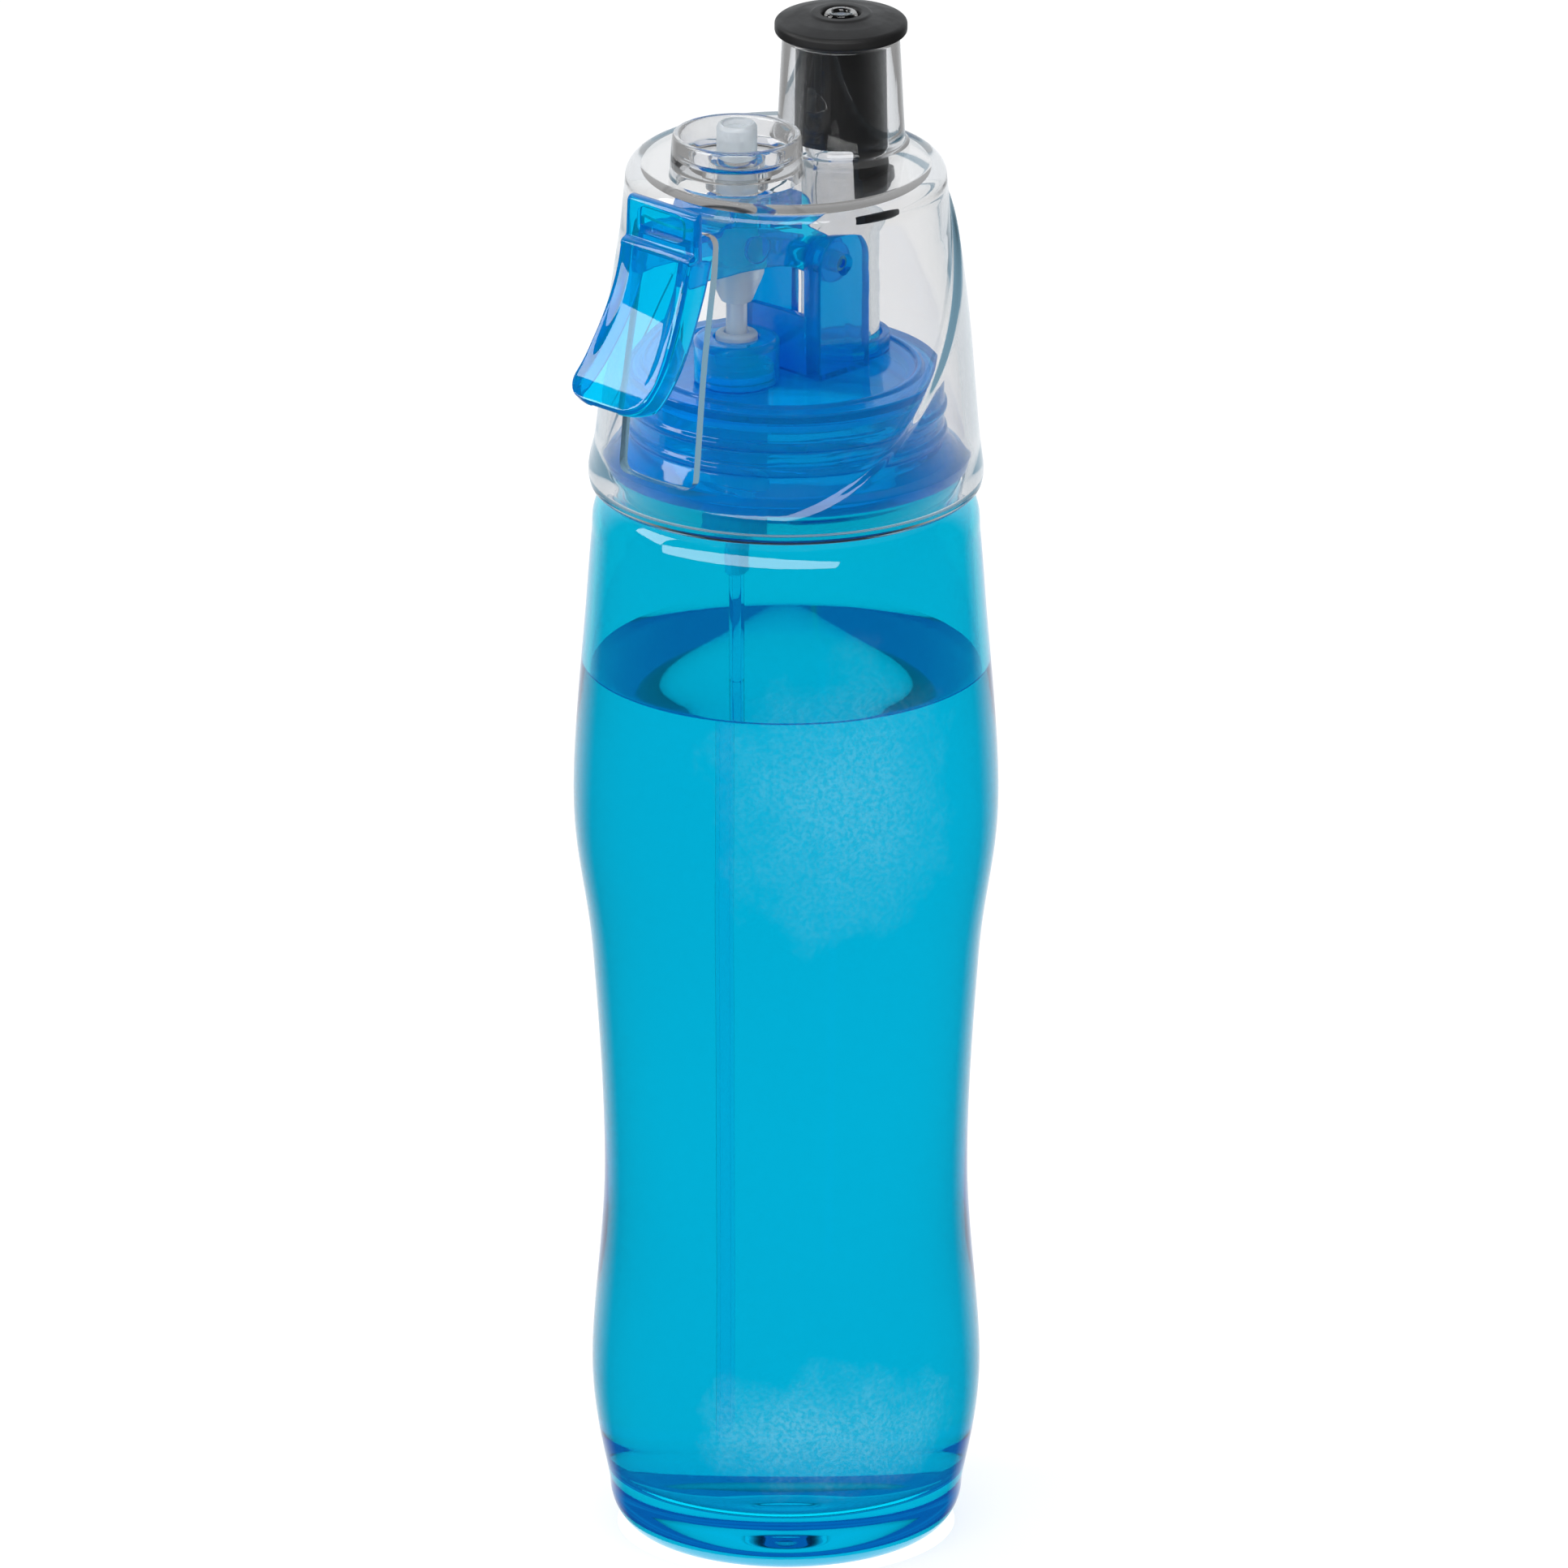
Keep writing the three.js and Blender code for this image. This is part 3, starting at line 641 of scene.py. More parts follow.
def make_bottle():
    """The bottle, turned from its outside and inside, with the thread raised on its neck."""
    threads = [(NECK_R, THREAD_Z - 1.4 + THREAD_STEP * k) for k in range(38)]
    foot = [
        (0, 0),
        (PAD_R, 0),
        (PAD_R + 0.9, RECESS_H),
        (FOOT_R - 3.8, RECESS_H),
        (FOOT_R - 2.9, 0),
        (FOOT_R, 0),
    ]
    outer = [
        *fillet(foot, 0.5, closed=False),
        *arc(FOOT_R, HEEL_H, HEEL_R, HEEL_H, -90, 0, 14)[1:-1],
        *spline(SIDE, 90),
        *spline([SIDE[-1], *SHOULDER], 40)[1:],
        (NECK_R + 1.2, SHOULDER_Z),
        (NECK_R + 0.4, SHOULDER_Z + 0.4),
        (NECK_R, SHOULDER_Z + 0.9),
        *threads,
        (NECK_R, RIM_Z - 0.5),
        (NECK_R - 0.5, RIM_Z),
    ]
    painted_glow = [
        (NECK_BORE + 0.3, RIM_Z),
        (NECK_BORE, RIM_Z - 0.3),
        (NECK_BORE, SHOULDER_Z),
        (NECK_BORE + 0.3, SHOULDER_Z - 1.0),
        (NECK_BORE + 1.2, SHOULDER_Z - WALL - 0.1),
        *reversed(spline([(SHOULDER_R - WALL, SHOULDER_LOW), *INNER_SHOULDER], 40)[1:]),
        *reversed(inner_side()),
    ]

    def shape(angle, r, z):
        if r == NECK_R and THREAD_Z - 1.5 < z < THREAD_Z + 10:
            return r + THREAD_H * ridge(angle, z, THREAD_Z)
        return r

    made = revolve("bottle", outer + painted_glow, segments=FINE, shape=shape)
    place(made, "bottle", "bottle_blue", BOTTLE_BLUE, "bottle_body")

    def wetted(face):
        centre = face.center / MM
        inward = face.normal.x * centre.x + face.normal.y * centre.y < 0 or face.normal.z > 0.3
        return inward and FLOOR - 0.5 < centre.z < WATER_Z + MENISCUS

    mark(made, "wetted", wetted)


def make_water():
    """The drink, just clear of the wall, with its edge drawn up where it meets the plastic."""
    wall = [(max(r - FILM, 0), z + FILM) for r, z in inner_side()]
    edge = radius_at(wall[2:], WATER_Z + MENISCUS)
    below = [p for p in wall if p[1] < WATER_Z]
    shares = (0, 0.1, 0.25, 0.45, 0.7, 1)
    meniscus = [(edge - 3.2 * t, WATER_Z + MENISCUS * (1 - t) ** 3) for t in shares]
    made = revolve("water_fill", [*below, *meniscus, (0, WATER_Z)], segments=FINE)
    place(made, "bottle", "water", WATER)
    mark(made, "wetted", lambda face: face.center.z / MM < WATER_Z or face.normal.z < 0.2)


# ---- screw cap ----------------------------------------------------------------------------------

CAP_BORE = 25.3
CAP_CREST_R = 23.7
CAP_R = 27
CAP_LOW = span("screw_cap")[0].z
FLANGE_R = span("screw_cap")[1].x
THREAD_TOP = 206.6  # highest row of the cap's thread
CEILING_Z = 208.3
EAR_R = 6.1
EAR_IN, EAR_OUT = 6.5, 10.5
WEB_T = 1.6
WEB_TOP = 221
DRINK_R = 6.8
DRINK_BORE = 5.1
SOCKET_R = DRINK_R + 0.38
PUMP_HOLE_R = 5.7
PIN_R = 1.6


def make_screw_cap():
    """The cap: a threaded cup with two grip rings, a flared skirt, hinge ears and the drink tube's boss."""
    rings = []
    for z in (200.0, 204.5):
        rings += [(CAP_R, z - 0.9), (CAP_R + 0.5, z - 0.4), (CAP_R + 0.5, z + 0.4), (CAP_R, z + 0.9)]
    outside = [
        (CAP_BORE, CAP_LOW),
        (FLANGE_R, CAP_LOW),
        (FLANGE_R, 195.4),
        (29.4, 196.2),
        (28.1, 197.6),
        (27.4, 198.5),
        *rings,
        (CAP_R, DECK_Z - 0.3),
        (CAP_R - 0.3, DECK_Z),
        (23.7, DECK_Z),
        (23.3, DECK_Z + 0.5),
        (22.5, DECK_Z + 0.5),
        (22.1, DECK_Z),
        (0, DECK_Z),
    ]
    thread = [(CAP_BORE, THREAD_TOP - THREAD_STEP * k) for k in range(42)]
    inside = [(0, CEILING_Z), (CAP_BORE - 0.6, CEILING_Z), (CAP_BORE, CEILING_Z - 0.6), *thread]
    outline = [*inside, *fillet(outside, 0.3, closed=False)]

    def shape(angle, r, z):
        if r == CAP_BORE and z <= THREAD_TOP:
            return r - (CAP_BORE - CAP_CREST_R) * ridge(angle, z, THREAD_Z + PITCH / 2)
        return r

    made = revolve("screw_cap_shell", outline, segments=FINE, shape=shape)
    foot = DECK_Z - 1
    ear = [
        (PIN.y - EAR_R, foot),
        *arc(PIN.y, PIN.z, EAR_R, EAR_R, 180, 0, 32),
        (PIN.y + EAR_R, foot),
    ]
    front = PIN.y - EAR_R
    web = [(front, foot), (front, WEB_TOP), (front + WEB_T, WEB_TOP), (front + WEB_T, foot)]
    boss_in, boss_out, boss_top = DRINK_R + 0.4, DRINK_R + 1.8, DECK_Z + 3
    boss = [(boss_in, foot), (boss_out, foot), (boss_out, boss_top), (boss_in, boss_top)]
    combine(
        made,
        "UNION",
        prism("ear_right", ear, EAR_IN, EAR_OUT, 0.35),
        prism("ear_left", ear, -EAR_OUT, -EAR_IN, 0.35),
        prism("web", web, -EAR_IN - 0.5, EAR_IN + 0.5, 0.2),
        revolve("boss", fillet(boss, 0.3), SPOUT_Y),
    )
    socket = [(0, DECK_Z), (SOCKET_R, DECK_Z), (SOCKET_R, DECK_Z + 12), (0, DECK_Z + 12)]
    drink = [(0, CEILING_Z - 1), (DRINK_BORE, CEILING_Z - 1), (DRINK_BORE, DECK_Z + 1), (0, DECK_Z + 1)]
    pump = [(PUMP_HOLE_R if r else 0, z) for r, z in drink]
    pin = cross_bore("pin_bore", PIN_R + GAP)
    combine(
        made,
        "DIFFERENCE",
        revolve("socket", socket, SPOUT_Y),
        revolve("drink_hole", drink, SPOUT_Y),
        revolve("pump_hole", pump, PUMP_Y),
        pin,
    )
    return place(made, "cap", "cap_blue", CAP_BLUE, "screw_cap")


def make_hinge_pin():
    """The trigger's pivot, with a shallow dimple in each end."""
    half = span("hinge_pin")[1].x
    end = [(0, half - 0.5), (0.8, half - 0.5), (1.0, half), (PIN_R - 0.25, half), (PIN_R, half - 0.25)]
    outline = [(r, -z) for r, z in end] + [(r, z) for r, z in reversed(end)]
    made = to_pivot(revolve("pivot_pin", outline))
    return place(made, "cap", "cap_blue", PIN_CLEAR, "hinge_pin")


# ---- clear shroud -------------------------------------------------------------------------------

PLATE_T = 2.2
LIP = [(31.6, SHROUD_LOW), (33.0, SHROUD_LOW), (33.6, 189.6), (33.9, 191.0), (33.9, 192.2)]
RIM = arc(24.4, 244.4, 3.2, 3.2, 10, 90, 10)
PROUD_LINE = [(33.1, 199), (31.7, 217), (30.35, 229), (29.4, 235.5), (28.4, 240.6)]
RECESS_LINE = [(33.0, 196.5), (32.4, 201), (30.9, 217.6), (29.3, 229.4), (28.5, 234.8)]
PROUD = spline([LIP[-1], *PROUD_LINE, RIM[0]], 60)  # the skirt's outside below the sweeping step
RECESS = spline([LIP[-1], *RECESS_LINE, RIM[0]], 60)  # and above it
STEP_HALF = 1.1
STEP_ROWS = 7
LOWER_ROWS, UPPER_ROWS = 16, 24
WINDOW_HALF = 8.9
WINDOW_LOW, WINDOW_HIGH = 197, 242
BOWL_R = 11.7
STROKE_HOLE_R = 3.9
TOWER_R = 11
TOWER_BORE = 8.45
SKIRT_T = 1.8


def sweep_height(angle):
    """The height of the step that sweeps round the shroud, low at the trigger and high at the back."""
    u = 1 + math.sin(angle)
    return min(max(190 + 9 * u + 10 * u * u, 193.6), 240.5)


def skirt_rows(angle):
    """The outside of the skirt at an angle, from the lip to the rim, stepping in above the sweep."""
    height = sweep_height(angle)
    half = STEP_HALF
    low, high = LIP[-1][1], RIM[0][1]
    rows = [(low + (height - half - low) * k / LOWER_ROWS) for k in range(1, LOWER_ROWS)]
    rows += [height - half + 2 * half * k / STEP_ROWS for k in range(STEP_ROWS + 1)]
    rows += [height + half + (high - height - half) * k / UPPER_ROWS for k in range(1, UPPER_ROWS)]
    points = []
    for z in rows:
        share = ease((z - height + half) / (2 * half))
        points.append((radius_at(PROUD, z) * (1 - share) + radius_at(RECESS, z) * share, z))
    return points


def make_shroud():
    """The clear cover: its skirt with the sweeping step, its plate, and what stands on the plate."""
    inside = [(r - SKIRT_T, z) for r, z in RECESS if 196 < z < 236]
    upper_inside = PLATE_Z - PLATE_T
    under = [
        (0, upper_inside),
        *fillet([(24.6, upper_inside), (26.3, 243.0), inside[-1]], 1.2, closed=False),
        *reversed(inside[:-1]),
        *fillet([(31.5, 193.6), (31.5, 190.6), (30.9, 190.2), (30.9, 189.6)], 0.2, closed=False),
    ]
    angles = [2 * math.pi * k / FINE for k in range(FINE)]
    skirts = [skirt_rows(a) for a in angles]
    rings = []

    def ring(points):
        rings.append([(r * math.cos(a), r * math.sin(a), z) for a, (r, z) in zip(angles, points)])

    for point in fillet(LIP[:-1], 0.3, closed=False) + [LIP[-1]]:
        ring([point] * FINE)
    for k in range(len(skirts[0])):
        ring([skirt[k] for skirt in skirts])
    for point in RIM:
        ring([point] * FINE)
    rings.append([(0, 0, PLATE_Z)])
    rings.append([(0, 0, upper_inside)])
    for point in under[1:]:
        ring([point] * FINE)
    made = shell_between(rings)
    add_top(made)
    cut_window(made)
    return place(made, "cap", "clear_plastic", CLEAR, "shroud", sharp=28)


def shell_between(rings):
    """The shroud's closed shell: the outside up to the top's middle, and the inside from under it down."""
    top = next(k for k, ring in enumerate(rings) if len(ring) == 1)
    bm = bmesh.new()
    rows = add_rows(bm, rings)
    order = list(zip(rows[:top], rows[1 : top + 1])) + list(zip(rows[top + 1 :], rows[top + 2 :]))
    order.append((rows[-1], rows[0]))
    for low, high in order:
        join_rows(bm, low, high)
    return to_object("shroud_cover", bm)


def add_top(shell):
    """The nozzle's bowl and the spout's tower, joined to the plate."""
    under = PLATE_Z - PLATE_T
    seat = under + 0.02  # a hair above the plate's underside, so that no faces coincide
    opening_r = 11
    opening = [(0, under - 1), (opening_r, under - 1), (opening_r, PLATE_Z + 1), (0, PLATE_Z + 1)]
    bowl = [
        (STROKE_HOLE_R, seat),
        (5.3, seat),
        (5.3, 248.8),
        (10.1, 249.2),
        (10.3, seat),
        (BOWL_R, seat),
        (BOWL_R, PLATE_Z - 0.1),
        (11.55, PLATE_Z + 1),
        (11.1, 254.5),
        (10.9, 255),
        (10.0, 255),
        (9.8, 254.5),
        (9.4, 251.6),
        (8.4, 250.5),
        (STROKE_HOLE_R, 250.2),
    ]
    tower_hole = [(0, under - 1), (TOWER_BORE, under - 1), (TOWER_BORE, PLATE_Z + 1), (0, PLATE_Z + 1)]
    tower = [
        (TOWER_BORE, under),
        (TOWER_R, under),
        (TOWER_R, PLATE_Z - 0.3),
        (11.9, PLATE_Z - 0.05),
        (11.25, PLATE_Z + 0.35),
        (TOWER_R, PLATE_Z + 1.2),
        (10.1, TOWER_TOP - 0.4),
        (9.8, TOWER_TOP),
        (TOWER_BORE + 0.2, TOWER_TOP),
        (TOWER_BORE, TOWER_TOP - 0.2),
    ]
    combine(shell, "DIFFERENCE", revolve("bowl_opening", opening, PUMP_Y, 96))
    combine(shell, "UNION", revolve("bowl", fillet(bowl, 0.35), PUMP_Y, 96))
    combine(shell, "UNION", revolve("tower", fillet(tower, 0.25), SPOUT_Y, 96))
    combine(shell, "DIFFERENCE", revolve("tower_hole", tower_hole, SPOUT_Y, 96))


def cut_window(shell):
    """The trigger's window, with round corners."""
    corners = [
        (-WINDOW_HALF, WINDOW_LOW),
        (WINDOW_HALF, WINDOW_LOW),
        (WINDOW_HALF, WINDOW_HIGH),
        (-WINDOW_HALF, WINDOW_HIGH),
    ]
    outline = fillet(corners, 2.2, steps=8)
    combine(shell, "DIFFERENCE", prism("window", outline, -40, -20, along="y"))


# ---- trigger lever, about its pivot -------------------------------------------------------------

BLADE_HALF = 8.2
BLADE_T = 1.8
FLANGE_T = 1.5
ARM_IN, ARM_OUT = 5, 6.2  # the sides of the channel
HUB_R = 3.5
PAD_ROUND = 2.8
SLOT_R = 4.3
TIP_ROUND = 4.5
BLADE_LINE = [(35.6, 8.6), (37.2, 2.6), (40.2, -4.6), (44, -11), (48.8, -15.8)]


def beside(points):
    """Lever points, (forward, z) from the pivot, as (y, z) of the bottle."""
    return [(PIN.y - f, PIN.z + z) for f, z in points]


def blade_section(half, depth, dish):
    """The blade's section as (x, depth) points: a dished face with a flange down each side."""
    right = [
        (half - 2.6, dish),
        (half - 1.3, 0),
        (half, 0),
        (half, depth),
        (half - FLANGE_T, depth),
        (half - FLANGE_T, BLADE_T + dish),
    ]
    left = [(-x, d) for x, d in reversed(right)]
    return fillet(right + left, 0.5)


def make_blade():
    """The finger blade: its section swept down a curve, waisted, flared, and round at the tip."""
    line = spline(BLADE_LINE, 48)
    length = [0]
    for a, b in zip(line, line[1:]):
        length.append(length[-1] + math.dist(a, b))
    rings = []
    for k, (f, z) in enumerate(line):
        before, after = line[max(k - 1, 0)], line[min(k + 1, len(line) - 1)]
        along = Vector((after[0] - before[0], after[1] - before[1])).normalized()
        inward = Vector((along.y, -along.x))
        share = length[k] / length[-1]
        waist = 0.03 * math.sin(math.pi * min(share * 1.6, 1))
        flare = 0.11 * ease(share)
        to_tip = length[-1] - length[k]
        short = max(TIP_ROUND - to_tip, 0)
        half = BLADE_HALF * (1 - waist + flare) - (TIP_ROUND - math.sqrt(TIP_ROUND**2 - short**2))
        depth = (6.2 - 2.4 * share**2) * min(1, 0.55 + to_tip / 7)
        dish = 0.55 * math.sin(math.pi * min(1, share * 1.1 + 0.1))
        section = blade_section(half, max(depth, BLADE_T + dish + 0.4), dish)
        ring = []
        for x, d in section:
            y, up = beside([(f + inward.x * d, z + inward.y * d)])[0]
            ring.append((x, y, up))
        rings.append(ring)
    bm = bmesh.new()
    rows = add_rows(bm, rings)
    for low, high in zip(rows, rows[1:]):
        join_rows(bm, low, high)
    bm.faces.new(rows[0])
    bm.faces.new(rows[-1])
    made = to_object("lever", bm)
    bevel(made, 0.3, angle=60)
    return made


def make_lever():
    """The finger blade, its head, and the arm behind: an upturned channel that straddles the nozzle."""
    made = make_blade()
    head = [
        (32.1, 7.4),
        (35.4, 7.4),
        (35.8, 8.3),
        (35.2, 9.1),
        (34.3, 9.4),
        (34.0, 15.8),
        (33.4, 16.5),
        (32.1, 16.5),
    ]
    side = [
        (-2.6, 2.4),
        (1.2, 8.2),
        (4.4, 11.8),
        (9, 13.4),
        (24, 13.4),
        (25.2, 11.4),
        (33.5, 11.2),
        (34.5, 2.6),
        (29.2, 2.9),
        (19.4, 2.3),
        (11.5, 1.4),
        (7.5, 0.2),
        (4.5, -1.6),
        (1.6, -3.2),
    ]
    pad = PIN.y - PUMP_Y
    foot = arc(pad, 2.8 + PAD_ROUND, PAD_ROUND, PAD_ROUND, 0, 352.5, 47)
    roof = [
        (12, 11.9),
        (23.6, 11.9),
        (24.6, 9.8),
        (33.5, 9.8),
        (33.5, 11.2),
        (25.2, 11.4),
        (24, 13.4),
        (12, 13.4),
    ]
    back_roof = [(5.6, 10.4), (9, 11.8), (13, 11.8), (13, 13.4), (9, 13.4), (5.6, 12.2)]
    hub = arc(0, 0, HUB_R, HUB_R, 0, 352.5, 47)
    rib = [(26.5, 3.4), (27.7, 3.4), (27.7, 10.4), (26.5, 10.4)]
    parts = [prism("head", beside(fillet(head, 0.5)), -BLADE_HALF - 0.1, BLADE_HALF + 0.1, 0.5)]
    for sign in (-1, 1):
        wall = sorted((sign * ARM_IN, sign * ARM_OUT))
        deep = sorted((sign * (ARM_IN - 1.1), sign * ARM_OUT))
        proud = sorted((sign * ARM_IN, sign * (ARM_OUT + 0.25)))
        parts.append(prism("side", beside(fillet(side, 1.6, steps=5)), *wall, 0.25))
        parts.append(prism("foot", beside(foot), *deep, 0.25))
        parts.append(prism("hub", beside(hub), *proud, 0.2))
        parts.append(prism("rib", beside(fillet(rib, 0.4)), *proud, 0.2))
    parts.append(prism("roof", beside(fillet(roof, 0.5)), -ARM_OUT + 0.2, ARM_OUT - 0.2))
    parts.append(prism("back_roof", beside(fillet(back_roof, 0.4)), -ARM_OUT + 0.2, ARM_OUT - 0.2))
    combine(made, "UNION", *parts)
    slot = [(0, 240), (SLOT_R, 240), (SLOT_R, 246), (0, 246)]
    pocket = fillet([(-5.6, 10.6), (5.6, 10.6), (5.6, 15.2), (-5.6, 15.2)], 1.6, steps=6)
    pocket = [(x, PIN.z + z) for x, z in pocket]
    combine(
        made,
        "DIFFERENCE",
        cross_bore("lever_bore", PIN_R + GAP),
        revolve("slot_front", slot, PUMP_Y - 0.4),
        revolve("slot_back", slot, PUMP_Y + 2.2),
        prism("pocket", pocket, PIN.y - 36, PIN.y - 33.1, along="y"),
    )
    return place(made, "trigger", "trigger_blue", TRIGGER_BLUE, "trigger_lever")


# ---- mist pump ----------------------------------------------------------------------------------


def make_pump():
    """The pump's turned pieces, from its cap to the nozzle, and the dip tube with its slanted end."""
    cap = [
        (6.6, DECK_Z + GAP),
        (7.4, DECK_Z + GAP),
        (7.4, 217.9),
        (6.8, 218.5),
        (STROKE_HOLE_R, 218.5),
        (STROKE_HOLE_R, 217),
        (6.6, 217),
    ]
    collar = [
        (2.15, 209),
        (4.1, 209),
        (4.1, 213),
        (6.2, 213),
        (6.2, 214.2),
        (3.6, 214.2),
        (3.6, 219),
        (3.2, 219.4),
        (2.15, 219.4),
    ]
    stem_foot = span("pump_stem")[0].z
    stem = [
        (0.8, stem_foot),
        (3.5, stem_foot),
        (3.5, stem_foot + 1.2),
        (1.8, stem_foot + 1.2),
        (1.8, stem_foot + 6.5),
        (2.6, stem_foot + 6.5),
        (2.6, 208.7),
        (1.8, 208.7),
        (1.8, 235.6),
        (0.8, 235.6),
    ]
    head = [
        (2, 225),
        (2.6, 225),
        (3.6, 227.4),
        (4.7, 229.8),
        (4.7, 232.5),
        (3.5, 232.5),
        (3.5, 256.4),
        (3.0, 257),
        (2.7, 257),
        (2.5, 256.6),
        (2.5, 254),
        (0.8, 254),
        (0.8, 236),
        (2, 236),
    ]
    insert = [(0.35, 254.5), (0.8, 254.2), (2.2, 254.2), (2.2, 256), (1, 256), (0.35, 255.2)]
    dip_low, dip_high = (corner.z for corner in span("dip_tube"))
    tube = [(0.7, dip_low), (1.3, dip_low), (1.3, dip_high), (0.7, dip_high)]

    def turned(name, outline, body, slot, material, node, soft=0.2):
        place(revolve(name, fillet(outline, soft), PUMP_Y), body, slot, material, node)

    turned("pump_closure", cap, "cap", "cap_blue", CAP_BLUE, "pump_cap", 0.3)
    turned("pump_guide", collar, "cap", "white_plastic", FROSTED, "pump_collar")
    turned("stem", stem, "plunger", "white_plastic", FROSTED, "pump_stem")
    turned("nozzle_head", head, "plunger", "white_plastic", FROSTED, "mist_head", 0.3)
    turned("nozzle_tip", insert, "plunger", "white_plastic", FROSTED, "nozzle_insert", 0.1)
    straw = revolve("straw", fillet(tube, 0.1), PUMP_Y, 32)
    slant = [(PUMP_Y - 3, dip_low - 1), (PUMP_Y + 3, dip_low - 1), (PUMP_Y + 3, dip_low + 8)]
    combine(straw, "DIFFERENCE", prism("slant", slant, -3, 3))
    place(straw, "cap", "clear_plastic", TUBE_CLEAR, "dip_tube")


def make_spring():
    """The pump's coil, at one length: the real coil shortens as the plunger goes down, but this mesh does
    not.
    """
    low, high = span("pump_spring")
    wire, turns = 0.35, 5
    coil = (high.x - low.x) / 2 - wire
    steps, sides = turns * 24, 8
    base, top = low.z + wire, high.z - wire
    rings = []
    for k in range(steps + 1):
        share = k / steps
        angle = 2 * math.pi * turns * share
        z = base + (top - base) * share
        out = Vector((math.cos(angle), math.sin(angle), 0))
        centre = out * coil + Vector((0, PUMP_Y, z))
        ring = []
        for s in range(sides):
            turn = 2 * math.pi * s / sides
            ring.append(centre + out * wire * math.cos(turn) + Vector((0, 0, wire * math.sin(turn))))
        rings.append(ring)
    rings = [[sum(rings[0], Vector()) / sides], *rings, [sum(rings[-1], Vector()) / sides]]
    made = place(ringed("coil_spring", rings, loops=False), "cap", "spring_steel", STEEL, "pump_spring")
    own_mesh(made)


# ---- drinking spout -----------------------------------------------------------------------------


def make_drink_tube():
    """The clear tube with its post, which plugs the closed valve, on two crossed spokes."""
    low, high = span("drink_tube")
    tube = [
        (DRINK_BORE, low.z),
        (DRINK_R, low.z),
        (DRINK_R, 242.6),
        (6.3, 243.2),
        (6.3, 254.2),
        (5.75, 254.2),
        (5.75, 256.2),
        (6.3, 256.2),
        (6.3, 262),
        (DRINK_BORE, 262),
    ]
    post = [
        (0, 256.5),
        (1.6, 256.5),
        (1.6, 266),
        (2.9, 267.4),
        (2.9, 270.4),
        (2.5, high.z),
        (1.7, high.z),
        (1.3, high.z - 0.6),
        (0, high.z - 0.8),
    ]
    made = revolve("drink_pipe", fillet(tube, 0.2), SPOUT_Y)
    reach, half = DRINK_BORE + 0.3, 0.7
    spoke_low, spoke_high = 257, 259

    def spoke(name, width, length):
        left, right = SPOUT_Y - width, SPOUT_Y + width
        outline = [(left, spoke_low), (right, spoke_low), (right, spoke_high), (left, spoke_high)]
        return prism(name, outline, -length, length)

    post = revolve("post", fillet(post, 0.25, closed=False), SPOUT_Y)
    combine(made, "UNION", post, spoke("spoke", half, reach), spoke("cross_spoke", reach, half))
    return place(made, "cap", "clear_plastic", CLEAR, "drink_tube")


def make_valve():
    """The black valve. Below its barrel hangs a leg with a barb."""
    low = span("spout_valve")[0].z
    barrel_low = 248.5
    valve_r = 8.15
    leg_in, barb_r = 7.1, 9
    cap = [
        (6.75, barrel_low),
        (valve_r, barrel_low),
        (valve_r, TOWER_TOP + 0.3),
        (11.1, TOWER_TOP + 0.3),
        (11.4, 267.7),
        (11.4, 269.1),
        (11.0, 269.55),
        (8.2, 270.25),
        (5.4, 270.6),
        (5.0, 270.9),
        (3.7, 270.9),
        (3.3, 270.5),
        (3.3, 268.3),
        (6.75, 267.6),
    ]
    made = revolve("push_pull_valve", fillet(cap, 0.3, steps=4), SPOUT_Y, 96)
    lift = joint_range("spout_slide") / MM
    barb_top = PLATE_Z - PLATE_T - lift - GAP
    skirt = [
        (leg_in, low),
        (valve_r, low),
        (barb_r, low + 1),
        (barb_r, barb_top),
        (valve_r, barb_top + 0.1),
        (valve_r, barrel_low + 0.5),
        (leg_in, barrel_low + 0.5),
    ]
    legs = revolve("legs", fillet(skirt, 0.15), SPOUT_Y, 96)
    front, back = -3.4, 5.2
    flare = 1.2
    outline = [(front, low - 1), (back, low - 1), (back, barrel_low - flare)]
    outline += arc(back + flare, barrel_low - flare, flare, flare, 180, 90, 8)
    outline += [(back + flare, barrel_low + 1), (front - flare, barrel_low + 1)]
    outline += arc(front - flare, barrel_low - flare, flare, flare, 90, 0, 8)
    keep = prism("keep", [(SPOUT_Y + y, z) for y, z in outline], 0, 10)
    combine(legs, "INTERSECT", keep)
    combine(made, "UNION", legs)
    return place(made, "spout", "spout_black", BLACK, "spout_valve")


# ---- CAD nodes that keep their own shape --------------------------------------------------------


def dress_carried_nodes():
    """Materials for the hidden pieces that are shown with their CAD shape."""
    finishes = {
        "neck_gasket": SILICONE,
        "pump_gasket": SILICONE,
        "drink_tube_seal": SILICONE,
        "spout_o_ring": SILICONE,
        "pump_cylinder": MILKY,
        "pump_piston": MILKY,
        "check_ball": STEEL,
    }
    for name, material in finishes.items():
        node = frame["nodes"][name]
        for slot in node.material_slots:
            slot.material = material


# ---- studio -------------------------------------------------------------------------------------


FOOTPRINT = 0.029  # radius of the floor's disc that the base hides


